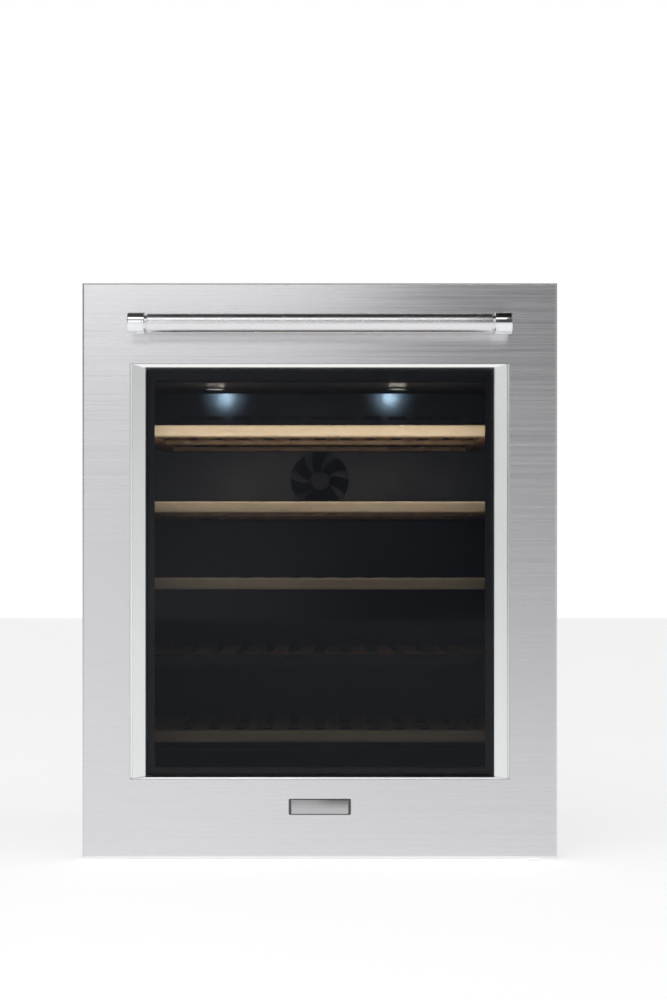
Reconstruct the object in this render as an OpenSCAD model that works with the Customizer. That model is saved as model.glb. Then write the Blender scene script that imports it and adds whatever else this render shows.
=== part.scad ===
// Wine cooler for building into a kitchen niche: an insulated cabinet with a glazed steel door,
// five sliding shelves, a ceiling unit with lamps and buttons, and a compressor cooling set.
// Millimetres, +Z up, door front towards -Y, origin on the floor under the middle of the object.

/* [Door] */
// Width of the steel door front
door_w = 595; // [540:1:760]
// Height of the steel door front
door_h = 720; // [600:1:900]
// Gap between the floor and the door
door_lift = 4; // [3:0.5:8]
// Thickness of the steel front tray
panel_t = 20; // [18:0.5:26]
// Sheet thickness of the door and the handle side returns
door_sheet = 1.2; // [1:0.1:2]
// Radius of the folded edges of the door
edge_r = 2.5; // [2:0.1:4]
// Thickness of the core frame behind the steel tray
core_t = 27; // [25:0.5:40]
// Distance from the door edge to the side of the cabinet
door_overlap = 19.5; // [12:0.5:22]
// Distance between the sealing frame of the door and the cabinet
gasket_t = 11; // [9:0.5:14]
// Width of the gasket strip
gasket_w = 14; // [12:0.5:18]

/* [Window] */
// Steel beside the window
stile_w = 59.5; // [45:0.5:80]
// Steel above the window
rail_top = 100.5; // [85:0.5:130]
// Steel below the window
rail_bottom = 98.5; // [85:0.5:130]
// Width of the side trims
trim_side_w = 19; // [14:0.5:26]
// Width of the top trim
trim_top_w = 4.8; // [4:0.1:10]
// Width of the bottom trim
trim_bottom_w = 2.4; // [2:0.1:10]
// Depth of the sloped face of the trims
trim_slope = 5; // [3:0.5:12]
// Depth from the door front to the glass
recess_d = 25; // [21:0.5:26]
// Thickness of each glass pane
glass_t = 4; // [3:0.5:5]
// Air space between the panes
glazing_gap = 10; // [8:0.5:12]
// How far a pane reaches behind the trims
glass_lap = 4; // [3:0.5:6]
// Corner radius of the glass opening
glass_r = 5; // [3:0.5:10]

/* [Handle and plate] */
// Overall length of the handle
handle_len = 475; // [300:1:520]
// How far the handle stands out of the door
handle_reach = 50; // [44:0.5:70]
// Diameter of the handle bar
bar_d = 24; // [16:0.5:26]
// Diameter of the polished handle ends
end_d = 27; // [25:0.5:32]
// Length of each polished handle end
end_len = 21; // [18:0.5:30]
// Diameter of the necks between the bar and the ends
neck_d = 20; // [12:0.5:22]
// Length of each neck
neck_len = 3; // [2:0.5:6]
// Diameter of the handle posts
post_d = 17; // [14:0.5:17]
// Distance from the door top to the middle of the handle
handle_drop = 54; // [40:0.5:60]
// Length of the blank plate
plate_len = 78; // [40:1:120]
// Height of the blank plate
plate_h = 20; // [12:0.5:30]
// Thickness of the blank plate
plate_t = 1.2; // [1:0.1:2]
// Height of the middle of the plate above the door bottom
plate_rise = 64; // [40:0.5:75]

/* [Hinge] */
// Diameter of the hinge pins
pin_d = 8; // [6:0.5:9]
// Running clearance of a hinge pin in its bush, on the radius
pin_fit = 0.05; // [0.02:0.01:0.1]
// Wall of a hinge bush
bush_t = 2.4; // [2:0.1:2.6]
// Length of a hinge bush
bush_len = 18; // [12:0.5:24]
// Distance from the door edge to the hinge axis
pivot_edge = 9.5; // [9.5:0.1:10]
// Distance from the door front to the hinge axis
pivot_depth = 12; // [11.5:0.1:12.5]
// Thickness of the hinge brackets
bracket_t = 4; // [3:0.5:4]

/* [Cabinet] */
// Depth of the cabinet behind the gasket
body_d = 500; // [440:1:620]
// Height of the rubber feet
foot_h = 10; // [8:0.5:10]
// Diameter of the rubber feet
foot_d = 36; // [24:1:50]
// Drop from the door top to the cabinet top
top_drop = 10; // [9:0.5:12]
// Sheet thickness of the outer shell
shell_t = 1; // [0.8:0.1:1.5]
// Thickness of the base plate
base_t = 2; // [1.5:0.5:3]
// Thickness of the plastic liner
liner_t = 2; // [1.5:0.5:3]
// Side wall from the cabinet side to the inside of the liner
wall_side = 36; // [30:0.5:40]
// Wall from the cabinet back to the inside of the liner
wall_back = 45; // [40:0.5:60]
// From the cabinet top to the inside of the liner
wall_top = 64; // [50:0.5:70]
// From the cabinet bottom to the cavity floor
wall_bottom = 102; // [96:0.5:110]
// Height of the air channel under the cavity
channel_h = 52; // [40:1:56]
// Depth of the air duct behind the cavity back wall
duct_d = 43; // [40:0.5:50]

/* [Cooling compartment] */
// Depth of the compartment at the back
comp_d = 150; // [145:1:165]
// Height of the compartment
comp_h = 193; // [190:1:205]
// Insulation in front of the compartment
comp_wall = 23; // [18:0.5:40]
// Insulation above the compartment
comp_roof = 28; // [20:0.5:30]
// Diameter of the compressor shell
compressor_d = 132; // [110:1:136]
// Height of the compressor shell
compressor_h = 138; // [120:1:140]
// Outer diameter of the copper pipes
pipe_d = 6; // [5:0.5:8]

/* [Shelves] */
// Number of shelves
shelf_count = 5; // [5:1:5]
// Height of a shelf front
shelf_h = 15; // [13:0.5:18]
// Depth of a shelf front strip
front_d = 18; // [14:0.5:24]
// Height of the lowest shelf above the cavity floor, to its middle
shelf_rise = 37; // [30:0.5:40]
// Drop from the ceiling unit to the middle of the top shelf
shelf_drop = 61; // [50:0.5:70]
// Distance from the cabinet front to the shelf fronts
shelf_set = 35; // [35:0.5:45]
// Width of a side bar
side_bar_w = 18; // [14:0.5:24]
// Number of slats on a shelf
slat_count = 12; // [8:1:12]
// Width of a slat
slat_w = 20; // [14:0.5:22]
// Thickness of a slat
slat_t = 9; // [6:0.5:10]
// Height of a runner inside its rail
runner_h = 10.6; // [9:0.1:12]
// Width of a runner
runner_w = 10.8; // [9:0.1:12]
// Clearance between a runner and its rail
runner_gap = 0.5; // [0.4:0.1:0.8]
// Sheet thickness of a fixed rail
rail_t = 1.2; // [1:0.1:1.5]

/* [Ceiling unit] */
// Height of the ceiling unit
unit_h = 44; // [40:1:50]
// Depth of the ceiling unit
unit_d = 180; // [140:1:240]
// Wall of the ceiling unit
unit_t = 2.5; // [2:0.5:3]
// Distance from the cabinet front to the ceiling unit
unit_set = 20; // [15:0.5:30]
// Distance between the two lamps
lamp_pitch = 242; // [160:1:300]
// Shift of the pair of lamps to the left of the middle
lamp_shift = 18; // [-30:1:30]
// Diameter of a lamp lens
lamp_d = 26; // [18:0.5:32]
// Diameter of a push button
button_d = 12; // [9:0.5:14]
// Travel of a push button
button_travel = 1.5; // [1:0.1:2]
// Distance between push buttons
button_pitch = 24; // [19:0.5:30]

/* [Fans] */
// Outer diameter of the fan blades
fan_d = 88; // [70:1:90]
// Depth of a fan frame
fan_t = 22; // [18:0.5:25]
// Number of blades
blade_count = 7; // [5:1:9]

/* [Hidden] */
$fn = 64;
e = 1; // overshoot of cuts
gap = 0.3; // between bodies that pass each other
screw_d = 4;
head_d = 8;
head_h = 2.4;

// Depths along Y
total_d = handle_reach + panel_t + core_t + gasket_t + body_d + head_h;
y_door = -total_d / 2 + handle_reach;
y_panel = y_door + panel_t;
y_core = y_panel + core_t;
y_body = y_core + gasket_t;
y_back = y_body + body_d;
y_glass = y_door + recess_d;
y_glass_in = y_glass + glass_t + glazing_gap;

// Heights along Z
z_door = door_lift;
z_door_top = z_door + door_h;
z_body = foot_h;
z_top = z_door_top - top_drop;
z_floor = z_body + wall_bottom;
z_ceiling = z_top - wall_top;
z_channel = z_body + base_t + channel_h;
z_comp = z_body + base_t + comp_h;
z_step = z_comp + comp_roof + liner_t;
z_core = z_channel + 14;
z_core_top = z_top - 2;

// Half widths along X
half_door = door_w / 2;
half_body = half_door - door_overlap;
half_core = half_body - 2;
half_cavity = half_body - wall_side;

// Window
window_w = door_w - 2 * stile_w;
window_h = door_h - rail_top - rail_bottom;
z_window = z_door + rail_bottom + window_h / 2;
opening_w = window_w - 2 * trim_side_w;
opening_h = window_h - trim_top_w - trim_bottom_w;
z_opening = z_door + rail_bottom + trim_bottom_w + opening_h / 2;
pane_w = opening_w + 2 * glass_lap;
pane_h = opening_h + 2 * glass_lap;
mitre_gap = 0.1;
groove_d = 3;
land_d = 0.8;
trim_steepest = 0.35; // most slope depth for each millimetre of width
spacer_w = 7;
spacer_inset = 2.5;
bead = 10; // core lip over the edge of the inner pane

// Handle
x_end = handle_len / 2 - end_len / 2;
y_bar = y_door - handle_reach + end_d / 2;
z_bar = z_door_top - handle_drop;
bar_len = handle_len - 2 * (end_len + neck_len);
post_seat = 3;
spigot_d = 8;
spigot_len = 14;

// Hinge
x_pivot = half_door - pivot_edge;
y_pivot = y_door + pivot_depth;
bush_d = pin_d + 2 * pin_fit + 2 * bush_t;
flange_d = 16;
flange_t = 1.2;
z_notch = z_top - flange_t - gap;
z_notch_low = z_body + flange_t + gap;
x_notch = x_pivot - 30;
bracket_eye_d = 14;

// Cavity
y_cavity_back = y_back - wall_back;
y_cover = y_cavity_back - duct_d;
y_step = y_back - comp_d - comp_wall - liner_t;
y_comp = y_back - comp_d;
cover_t = 2;

// Shelves
z_unit = z_ceiling - unit_h;
z_low_shelf = z_floor + shelf_rise;
shelf_pitch = (z_unit - shelf_drop - z_low_shelf) / (shelf_count - 1);
y_shelf = y_body + shelf_set;
rail_h = runner_h + 2 * runner_gap + 2 * rail_t;
x_runner = half_cavity - rail_t - runner_gap - runner_w;
shelf_half = x_runner;
front_half = half_cavity - 9;
function shelf_z(i) = z_low_shelf + (shelf_count - i) * shelf_pitch;
function shelf_back(i) =
    shelf_z(i) - shelf_h / 2 - 2 > z_step ? y_cover - 8 : y_step - 8;

// Ceiling unit
y_unit = y_body + unit_set;
unit_half = half_cavity - 1;
unit_face_t = unit_t + 1;
z_face = z_unit + unit_h / 2;
x_buttons = 62;
display_w = 56;
display_h = 18;
display_t = 1.6;
LAMP_X = [-lamp_pitch / 2 - lamp_shift, lamp_pitch / 2 - lamp_shift];
function button_x(i) = x_buttons + i * button_pitch;

// Cooling set
x_comp_mid = -half_body + 130;
y_comp_mid = y_comp + comp_d / 2;
z_comp_low = z_body + base_t + 10;
MOUNT_POINTS = [for (sx = [-1, 1], sy = [-1, 1]) [x_comp_mid + sx * 80, y_comp_mid + sy * 42]];
x_suction = x_comp_mid - compressor_d / 2 - 16;
y_suction = y_cover + cover_t + 12;
z_evaporator = z_step + 60;
z_fan = z_unit - 110;
shaft_d = 5;
x_condenser = 78;
condenser_h = 120;

// Power inlet in the rear cover
x_inlet = half_body - 55;
z_inlet = z_comp - 45;
inlet_w = 27;
inlet_h = 20;

// Gasket: its distance from the cavity edge, and its dart in the door core
gasket_set = 8;
dart_w = 4;
dart_d = 5;

// Screws on the top of the cabinet, and the holes for fixing to the niche
y_top_screw = y_body + 22;
y_niche_hole = y_body - 16;
BRACKET_X = [half_body - 52, half_body - 18];
niche_hole_d = 5.5;
niche_t = 3;
NICHE_START = [-half_body + 4, -half_body + 204];
NICHE_HOLES = [26, 66];
NICHE_X = [for (x0 = NICHE_START, dx = NICHE_HOLES) x0 + dx];
COVER_SCREWS = [for (x = [-1, 0, 1], z = [z_body + 12, z_comp - 6]) [x * (half_body - 14), z]];

// ---------- helpers ----------

// A box between two places on each axis
module span(x, y, z) {
    translate([x[0], y[0], z[0]]) cube([x[1] - x[0], y[1] - y[0], z[1] - z[0]]);
}

// A flat outline with round corners
module rounded(w, h, r) {
    square([w - 2 * r, h], center = true);
    square([w, h - 2 * r], center = true);
    for (sx = [-1, 1], sy = [-1, 1])
        translate([sx * (w / 2 - r), sy * (h / 2 - r)]) circle(r);
}

// A plate that faces along Y, from y0 to y1, with round corners
module plate(w, h, r, y0, y1, zc) {
    translate([0, y1, zc]) rotate([90, 0, 0]) linear_extrude(y1 - y0) rounded(w, h, r);
}

// A cylinder along X, Y or Z from a start point
module rod_x(d, len, p) { translate(p) rotate([0, 90, 0]) cylinder(d = d, h = len); }
module rod_y(d, len, p) { translate(p) rotate([-90, 0, 0]) cylinder(d = d, h = len); }
module rod_z(d, len, p) { translate(p) cylinder(d = d, h = len); }

module mirrored() {
    children();
    mirror([1, 0, 0]) children();
}

// ---------- door ----------

// The door's front tray as a solid, drawn in by an inset on its front and sides
module tray_solid(inset, y_end) {
    r = edge_r - inset;
    w = door_w - 2 * inset;
    h = door_h - 2 * inset;
    d = y_end - y_door - inset;
    intersection() {
        translate([0, y_door + inset, z_door + inset]) linear_extrude(h) folded_profile(w, d, r);
        translate([-w / 2, y_door + inset, z_door + door_h / 2])
            rotate([0, 90, 0]) linear_extrude(w) folded_profile(h, d, r);
    }
}

// A flat outline with its two front corners rounded
module folded_profile(w, d, r) {
    translate([-w / 2, r]) square([w, d - r]);
    translate([-w / 2 + r, 0]) square([w - 2 * r, r]);
    for (s = [-1, 1]) translate([s * (w / 2 - r), r]) circle(r);
}

module hinge_notches(x0, y0) {
    span([x0, half_door + e], [y0, y_panel + e], [z_notch, z_door_top + e]);
    span([x0, half_door + e], [y0, y_panel + e], [z_door - e, z_notch_low]);
}

module post_holes(y0, len) {
    mirrored() rod_y(spigot_d, len, [x_end, y0, z_bar]);
}

module door_panel() {
    color([0.76, 0.76, 0.77]) difference() {
        tray_solid(0, y_panel);
        tray_solid(door_sheet, y_panel + e);
        span([-window_w / 2, window_w / 2], [y_door - e, y_panel],
            [z_window - window_h / 2, z_window + window_h / 2]);
        hinge_notches(x_notch, y_door + edge_r);
        post_holes(y_door - e, panel_t);
    }
}

// Front outline of one trim: groove, narrow land, slope, then a wall down to the glass
module trim_profile(w) {
    low = land_d + min(trim_slope, trim_steepest * w);
    polygon([[0, groove_d], [0.13 * w, groove_d], [0.17 * w, land_d], [0.19 * w, land_d],
        [0.94 * w, low], [w, low + 0.6], [w, recess_d], [0, recess_d]]);
}

// Region of one side trim seen from the front, cut at the mitres; side -1 is left, 1 is right
module side_region(side) {
    xo = side * window_w / 2;
    xi = side * opening_w / 2;
    polygon([[xo, z_window - window_h / 2 + mitre_gap], [xi, z_opening - opening_h / 2 + mitre_gap],
        [xi - side * glass_r, z_opening], [xi, z_opening + opening_h / 2 - mitre_gap],
        [xo, z_window + window_h / 2 - mitre_gap]]);
}

// The same for the top trim, 1, and the bottom trim, -1
module end_region(side) {
    zo = z_window + side * window_h / 2;
    zi = z_opening + side * opening_h / 2;
    polygon([[-window_w / 2, zo], [-opening_w / 2, zi], [0, zi - side * glass_r],
        [opening_w / 2, zi], [window_w / 2, zo]]);
}

module upright(y0, y1) {
    translate([0, y1, 0]) rotate([90, 0, 0]) linear_extrude(y1 - y0) children();
}

// The thin lip round the glass opening, with round inner corners
module trim_lip() {
    difference() {
        span([-window_w / 2, window_w / 2], [y_glass - 1.6, y_glass],
            [z_window - window_h / 2, z_window + window_h / 2]);
        plate(opening_w, opening_h, glass_r, y_glass - 1.6 - e, y_glass + e, z_opening);
    }
}

module side_trim(side) {
    intersection() {
        union() {
            translate([side * window_w / 2, y_door, z_window - window_h / 2])
                linear_extrude(window_h) mirror([side > 0 ? 1 : 0, 0]) trim_profile(trim_side_w);
            trim_lip();
        }
        upright(y_door, y_glass) side_region(side);
    }
}

module end_trim(side, w) {
    intersection() {
        union() {
            translate([-window_w / 2, y_door, z_window + side * window_h / 2])
                rotate([0, 90, 0]) linear_extrude(window_w)
                    mirror([side > 0 ? 0 : 1, 0]) trim_profile(w);
            trim_lip();
        }
        upright(y_door, y_glass) end_region(side);
    }
}

module window_trims() {
    color([0.83, 0.85, 0.86]) {
        side_trim(-1);
        side_trim(1);
        end_trim(1, trim_top_w);
        end_trim(-1, trim_bottom_w);
    }
}

module gasket_ring(w, y0, y1) {
    outer_x = half_cavity + gasket_set + gasket_w / 2 + w / 2;
    inner_x = outer_x - w;
    zc = (z_floor + z_ceiling) / 2;
    outer_z = (z_ceiling - z_floor) / 2 + gasket_set + gasket_w / 2 + w / 2;
    inner_z = outer_z - w;
    difference() {
        span([-outer_x, outer_x], [y0, y1], [zc - outer_z, zc + outer_z]);
        span([-inner_x, inner_x], [y0 - e, y1 + e], [zc - inner_z, zc + inner_z]);
    }
}

module door_core() {
    color([0.13, 0.13, 0.14]) difference() {
        union() {
            tray_solid(door_sheet, y_panel);
            span([-half_core, half_core], [y_panel, y_core], [z_core, z_core_top]);
        }
        span([-window_w / 2, window_w / 2], [y_door, y_glass],
            [z_window - window_h / 2, z_window + window_h / 2]);
        plate(pane_w + 1, pane_h + 1, glass_r + 1.5, y_glass, y_glass_in + glass_t, z_opening);
        plate(pane_w - 2 * bead, pane_h - 2 * bead, glass_r, y_glass, y_core + e, z_opening);
        hinge_notches(x_notch, y_door + 3);
        for (z = [[z_notch - bush_len, z_notch + e], [z_notch_low - e, z_notch_low + bush_len]])
            rod_z(bush_d, z[1] - z[0], [x_pivot, y_pivot, z[0]]);
        post_holes(y_door, spigot_len);
        gasket_ring(dart_w + 0.2, y_core - dart_d - 0.2, y_core + e);
    }
}

module glass_outer() {
    color([0.08, 0.08, 0.1, 0.6])
        plate(pane_w, pane_h, glass_r + 1, y_glass, y_glass + glass_t, z_opening);
}

module glass_inner() {
    color([0.3, 0.35, 0.38, 0.5])
        plate(pane_w, pane_h, glass_r + 1, y_glass_in, y_glass_in + glass_t, z_opening);
}

module glazing_spacer() {
    w = pane_w - 2 * spacer_inset;
    h = pane_h - 2 * spacer_inset;
    color([0.25, 0.25, 0.27]) difference() {
        plate(w, h, glass_r, y_glass + glass_t, y_glass_in, z_opening);
        plate(w - 2 * spacer_w, h - 2 * spacer_w, 2, y_glass, y_glass_in + e, z_opening);
    }
}

// Magnetic gasket: a dart in the core, a narrow bellows waist and a sealing face
module door_gasket() {
    color([0.2, 0.2, 0.21]) {
        gasket_ring(dart_w, y_core - dart_d, y_core);
        gasket_ring(gasket_w, y_core, y_core + 3);
        gasket_ring(gasket_w - 6, y_core + 3, y_body - gap - 4);
        gasket_ring(gasket_w, y_body - gap - 4, y_body - gap);
    }
}

module hinge_bush() {
    difference() {
        union() {
            cylinder(d = bush_d, h = bush_len);
            translate([0, 0, bush_len]) cylinder(d = flange_d, h = flange_t);
        }
        translate([0, 0, -e]) cylinder(d = pin_d + 2 * pin_fit, h = bush_len + flange_t + 2 * e);
    }
}

module hinge_bushes() {
    color([0.85, 0.84, 0.8]) {
        translate([x_pivot, y_pivot, z_notch - bush_len]) hinge_bush();
        translate([x_pivot, y_pivot, z_notch_low + bush_len]) mirror([0, 0, 1]) hinge_bush();
    }
}

module handle_bar() {
    color([0.75, 0.75, 0.76]) {
        rod_x(bar_d, bar_len, [-bar_len / 2, y_bar, z_bar]);
        rod_x(neck_d, bar_len + 2 * (neck_len + 7), [-bar_len / 2 - neck_len - 7, y_bar, z_bar]);
    }
}

// A polished end: a short cylinder with softened rims, bored for the neck and the post
module handle_end() {
    c = 1.2;
    difference() {
        translate([x_end - end_len / 2, y_bar, z_bar]) rotate([0, 90, 0])
            rotate_extrude() polygon([[0, 0], [end_d / 2 - c, 0], [end_d / 2 - c / 4, c / 4],
                [end_d / 2, c], [end_d / 2, end_len - c], [end_d / 2 - c / 4, end_len - c / 4],
                [end_d / 2 - c, end_len], [0, end_len]]);
        rod_x(neck_d, 7, [x_end - end_len / 2, y_bar, z_bar]);
        rod_y(post_d, end_d, [x_end, y_bar + end_d / 2 - post_seat, z_bar]);
    }
}

module handle_ends() {
    color([0.85, 0.86, 0.87]) mirrored() handle_end();
}

module handle_posts() {
    y0 = y_bar + end_d / 2 - post_seat;
    color([0.6, 0.6, 0.61]) mirrored() {
        rod_y(post_d, y_door - y0, [x_end, y0, z_bar]);
        rod_y(spigot_d, spigot_len, [x_end, y_door, z_bar]);
    }
}

module blank_plate() {
    color([0.6, 0.6, 0.62])
        plate(plate_len, plate_h, 2, y_door - plate_t, y_door, z_door + plate_rise);
}

// ---------- hinge brackets ----------

// A hinge bracket: a foot on the cabinet, an upright strip and a cranked arm to the pin
module bracket(z0) {
    x1 = half_body - 1;
    z = [z0, z0 + bracket_t];
    color([0.45, 0.45, 0.47]) difference() {
        union() {
            span([x1 - 68, x1], [y_body + e, y_body + e + 44], z);
            span([x1 - 18, x1], [y_panel + 3, y_body + 3], z);
            translate([0, 0, z0]) linear_extrude(bracket_t)
                polygon([[x1 - 18, y_panel + 5], [x1, y_panel + 5], [x1, y_panel + 1.5],
                    [x_pivot + 4.3, y_pivot + 1.4], [x_pivot - 4.8, y_pivot - 0.9],
                    [x1 - 18, y_panel + 1]]);
            rod_z(bracket_eye_d, bracket_t, [x_pivot, y_pivot, z0]);
        }
        for (x = BRACKET_X) rod_z(screw_d, bracket_t + 2 * e, [x, y_top_screw, z0 - e]);
        rod_z(pin_d, bracket_t + 2 * e, [x_pivot, y_pivot, z0 - e]);
    }
}

module hinge_bracket_top() { bracket(z_top); }
module hinge_bracket_bottom() { bracket(z_body - bracket_t); }

module hinge_pins() {
    len = bracket_t + z_top - z_notch + bush_len - 1;
    color([0.7, 0.7, 0.72]) {
        rod_z(pin_d, len, [x_pivot, y_pivot, z_top + bracket_t - len]);
        rod_z(pin_d, len, [x_pivot, y_pivot, z_body - bracket_t]);
    }
}

// Two flat brackets on the front edge of the top, with holes for screws into the niche
module niche_brackets() {
    color([0.45, 0.45, 0.47]) for (x0 = NICHE_START) difference() {
        span([x0, x0 + 92], [y_body - 30, y_body + 40], [z_top, z_top + niche_t]);
        for (dx = NICHE_HOLES) {
            rod_z(niche_hole_d, niche_t + 2 * e, [x0 + dx, y_niche_hole, z_top - e]);
            rod_z(screw_d, niche_t + 2 * e, [x0 + dx, y_top_screw, z_top - e]);
        }
    }
}

// ---------- cabinet ----------

// The cavity, grown by an amount on every closed side
module cavity(grow) {
    span([-half_cavity - grow, half_cavity + grow], [y_body - e, y_cavity_back + grow],
        [z_step - grow, z_ceiling + grow]);
    span([-half_cavity - grow, half_cavity + grow], [y_body - e, y_step + grow],
        [z_floor - grow, z_ceiling]);
}

module compartment() {
    span([-half_body + shell_t, half_body - shell_t], [y_comp, y_back + e], [z_body + base_t, z_comp]);
}

module top_screw_holes() {
    for (x = concat(NICHE_X, BRACKET_X)) rod_z(screw_d, 20, [x, y_top_screw, z_top - 8]);
}

module bottom_screw_holes() {
    for (x = BRACKET_X) rod_z(screw_d, 20, [x, y_top_screw, z_body - 8]);
}

module cover_screw_holes(y0) {
    for (p = COVER_SCREWS) rod_y(screw_d, 12, [p[0], y0, p[1]]);
}

module suction_hole() {
    rod_z(pipe_d + 2 * gap, z_step - z_comp + 2 * e, [x_suction, y_suction, z_comp - e]);
}

module outer_shell() {
    color([0.16, 0.16, 0.17]) difference() {
        span([-half_body, half_body], [y_body, y_back - shell_t], [z_body + base_t, z_top]);
        span([-half_body + shell_t, half_body - shell_t], [y_body + shell_t, y_back],
            [z_body, z_top - shell_t]);
        span([-half_cavity - liner_t, half_cavity + liner_t], [y_body - e, y_body + 2 * e],
            [z_floor - liner_t, z_ceiling + liner_t]);
        span([-half_cavity, half_cavity], [y_body - e, y_body + 2 * e],
            [z_body, z_channel]);
        top_screw_holes();
    }
}

module back_panel() {
    color([0.3, 0.3, 0.31])
        span([-half_body, half_body], [y_back - shell_t, y_back], [z_comp, z_top]);
}

module base_plate() {
    color([0.35, 0.35, 0.36]) difference() {
        span([-half_body, half_body], [y_body, y_back - shell_t], [z_body, z_body + base_t]);
        for (i = [-4:4]) span([i * 44 - 15, i * 44 + 15], [y_body + 60, y_body + 66],
            [z_body - e, z_body + base_t + e]);
        bottom_screw_holes();
        for (p = MOUNT_POINTS) rod_z(6, base_t + 2 * e, [p[0], p[1], z_body - e]);
    }
}

// Slatted grille across the air channel, behind the lower edge of the door
module base_grille() {
    z1 = z_channel;
    count = 5;
    bar = (z1 - z_body - base_t) / (2 * count + 1);
    color([0.1, 0.1, 0.1]) difference() {
        span([-half_cavity, half_cavity], [y_body, y_body + 6], [z_body + base_t, z1]);
        for (i = [0:count - 1], s = [-1, 1])
            span([s > 0 ? 4 : -half_cavity + 8, s > 0 ? half_cavity - 8 : -4],
                [y_body - e, y_body + 6 + e],
                [z_body + base_t + (2 * i + 1) * bar, z_body + base_t + (2 * i + 2) * bar]);
    }
}

module cabinet_insulation() {
    color([0.93, 0.87, 0.62]) difference() {
        span([-half_body + shell_t, half_body - shell_t], [y_body + shell_t, y_back - shell_t],
            [z_body + base_t, z_top - shell_t]);
        cavity(liner_t);
        compartment();
        span([-half_cavity, half_cavity], [y_body, y_comp + e], [z_body, z_channel]);
        top_screw_holes();
        bottom_screw_holes();
        suction_hole();
    }
}

module inner_liner() {
    color([0.12, 0.13, 0.15]) difference() {
        intersection() {
            cavity(liner_t);
            span([-half_body, half_body], [y_body, y_back], [z_body, z_top]);
        }
        cavity(0);
        suction_hole();
    }
}

// ---------- cooling ----------

module air_duct_cover() {
    color([0.14, 0.15, 0.17]) difference() {
        span([-half_cavity + 0.5, half_cavity - 0.5], [y_cover, y_cover + cover_t],
            [z_step + 0.5, z_ceiling - 0.5]);
        rod_y(fan_d - 4, cover_t + 2 * e, [0, y_cover - e, z_fan]);
        for (i = [-5:5], z = [z_step + 24, z_unit - 22])
            span([i * 38 - 13, i * 38 + 13], [y_cover - e, y_cover + cover_t + e], [z, z + 5]);
    }
}

// Fin block on two rows of tube, behind the duct cover
module evaporator() {
    y0 = y_cover + cover_t + 6;
    z0 = z_evaporator;
    color([0.8, 0.8, 0.82]) {
        for (i = [0:14]) span([-105 + i * 15, -104 + i * 15], [y0, y0 + 28], [z0, z0 + 120]);
        for (z = [15, 45, 75, 105]) rod_x(7, 236, [-118, y0 + 14, z0 + z]);
        for (s = [-1, 1]) span([s * 117 - 1, s * 117 + 1], [y_cover + cover_t, y0 + 28], [z0, z0 + 120]);
    }
}

// Square frame with four struts, a motor plate and a stub shaft
module fan_frame() {
    w = fan_d + 8;
    difference() {
        translate([-w / 2, 0, -w / 2]) cube([w, fan_t, w]);
        rod_y(fan_d + 3, fan_t + 2 * e, [0, -e, 0]);
    }
    for (a = [45:90:315]) rotate([0, a, 0]) translate([0, fan_t - 4, -2.5]) cube([w / 2 - 1, 4, 5]);
    rod_y(32, 4, [0, fan_t - 4, 0]);
    rod_y(shaft_d, 12, [0, fan_t - 14, 0]);
}

// Hub and blades, turning on the frame's stub shaft
module fan_rotor() {
    difference() {
        union() {
            rod_y(30, fan_t - 8, [0, 2, 0]);
            for (i = [0:blade_count - 1]) rotate([0, i * 360 / blade_count, 0])
                translate([14, fan_t / 2 - 2.5, 0]) rotate([32, 0, 0])
                    translate([0, -0.9, -8]) cube([fan_d / 2 - 15, 1.8, 16]);
        }
        rod_y(shaft_d + 2 * pin_fit, 12, [0, fan_t - 14.5, 0]);
    }
}

module at_evaporator_fan() { translate([0, y_cover + cover_t, z_fan]) children(); }
module at_condenser_fan() {
    translate([34, y_comp + comp_d / 2, z_body + base_t + fan_d / 2 + 4]) rotate([0, 0, -90]) children();
}

module evaporator_fan_frame() { color([0.12, 0.12, 0.13]) at_evaporator_fan() fan_frame(); }
module evaporator_fan_rotor() { color([0.2, 0.2, 0.21]) at_evaporator_fan() fan_rotor(); }
module condenser_fan_frame() { color([0.12, 0.12, 0.13]) at_condenser_fan() fan_frame(); }
module condenser_fan_rotor() { color([0.2, 0.2, 0.21]) at_condenser_fan() fan_rotor(); }

module condenser() {
    x0 = x_condenser;
    y0 = y_comp + 20;
    z0 = z_body + base_t;
    color([0.72, 0.72, 0.74]) {
        for (i = [0:13]) span([x0 + i * 9, x0 + 1 + i * 9], [y0, y0 + 110], [z0, z0 + condenser_h]);
        for (y = [20, 55, 90], z = [20, 60, 100]) rod_x(8, 130, [x0 - 6, y0 + y, z0 + z]);
    }
}

module compressor() {
    r = compressor_d / 2;
    h = compressor_h;
    color([0.08, 0.08, 0.09]) difference() {
        union() {
            translate([x_comp_mid, y_comp_mid, z_comp_low + 3]) rotate_extrude()
                polygon([[0, 0], [r - 22, 0], [r - 8, 6], [r, 20], [r, h - 34], [r - 4, h - 20],
                    [r - 18, h - 7], [r - 40, h], [0, h]]);
            translate([x_comp_mid, y_comp_mid, z_comp_low + 3 + h / 2]) cylinder(d = compressor_d + 6, h = 4);
            span([x_comp_mid - 92, x_comp_mid + 92], [y_comp_mid - 54, y_comp_mid + 54],
                [z_comp_low, z_comp_low + 3]);
            rod_x(12, 16, [x_comp_mid + r - 6, y_comp_mid, z_comp_low + 40]);
            rod_x(12, 16, [x_comp_mid - r - 10, y_comp_mid, z_comp_low + 60]);
        }
        for (p = MOUNT_POINTS) rod_z(12, 12, [p[0], p[1], z_comp_low - 4]);
    }
}

// Rubber grommets that carry the compressor's foot plate on the base
module compressor_mounts() {
    color([0.15, 0.15, 0.15]) for (p = MOUNT_POINTS) translate([p[0], p[1], z_body + base_t]) {
        difference() {
            union() {
                cylinder(d = 22, h = 10);
                cylinder(d = 12, h = 16);
            }
            translate([0, 0, -e]) cylinder(d = 6, h = 20);
        }
    }
}

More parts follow.
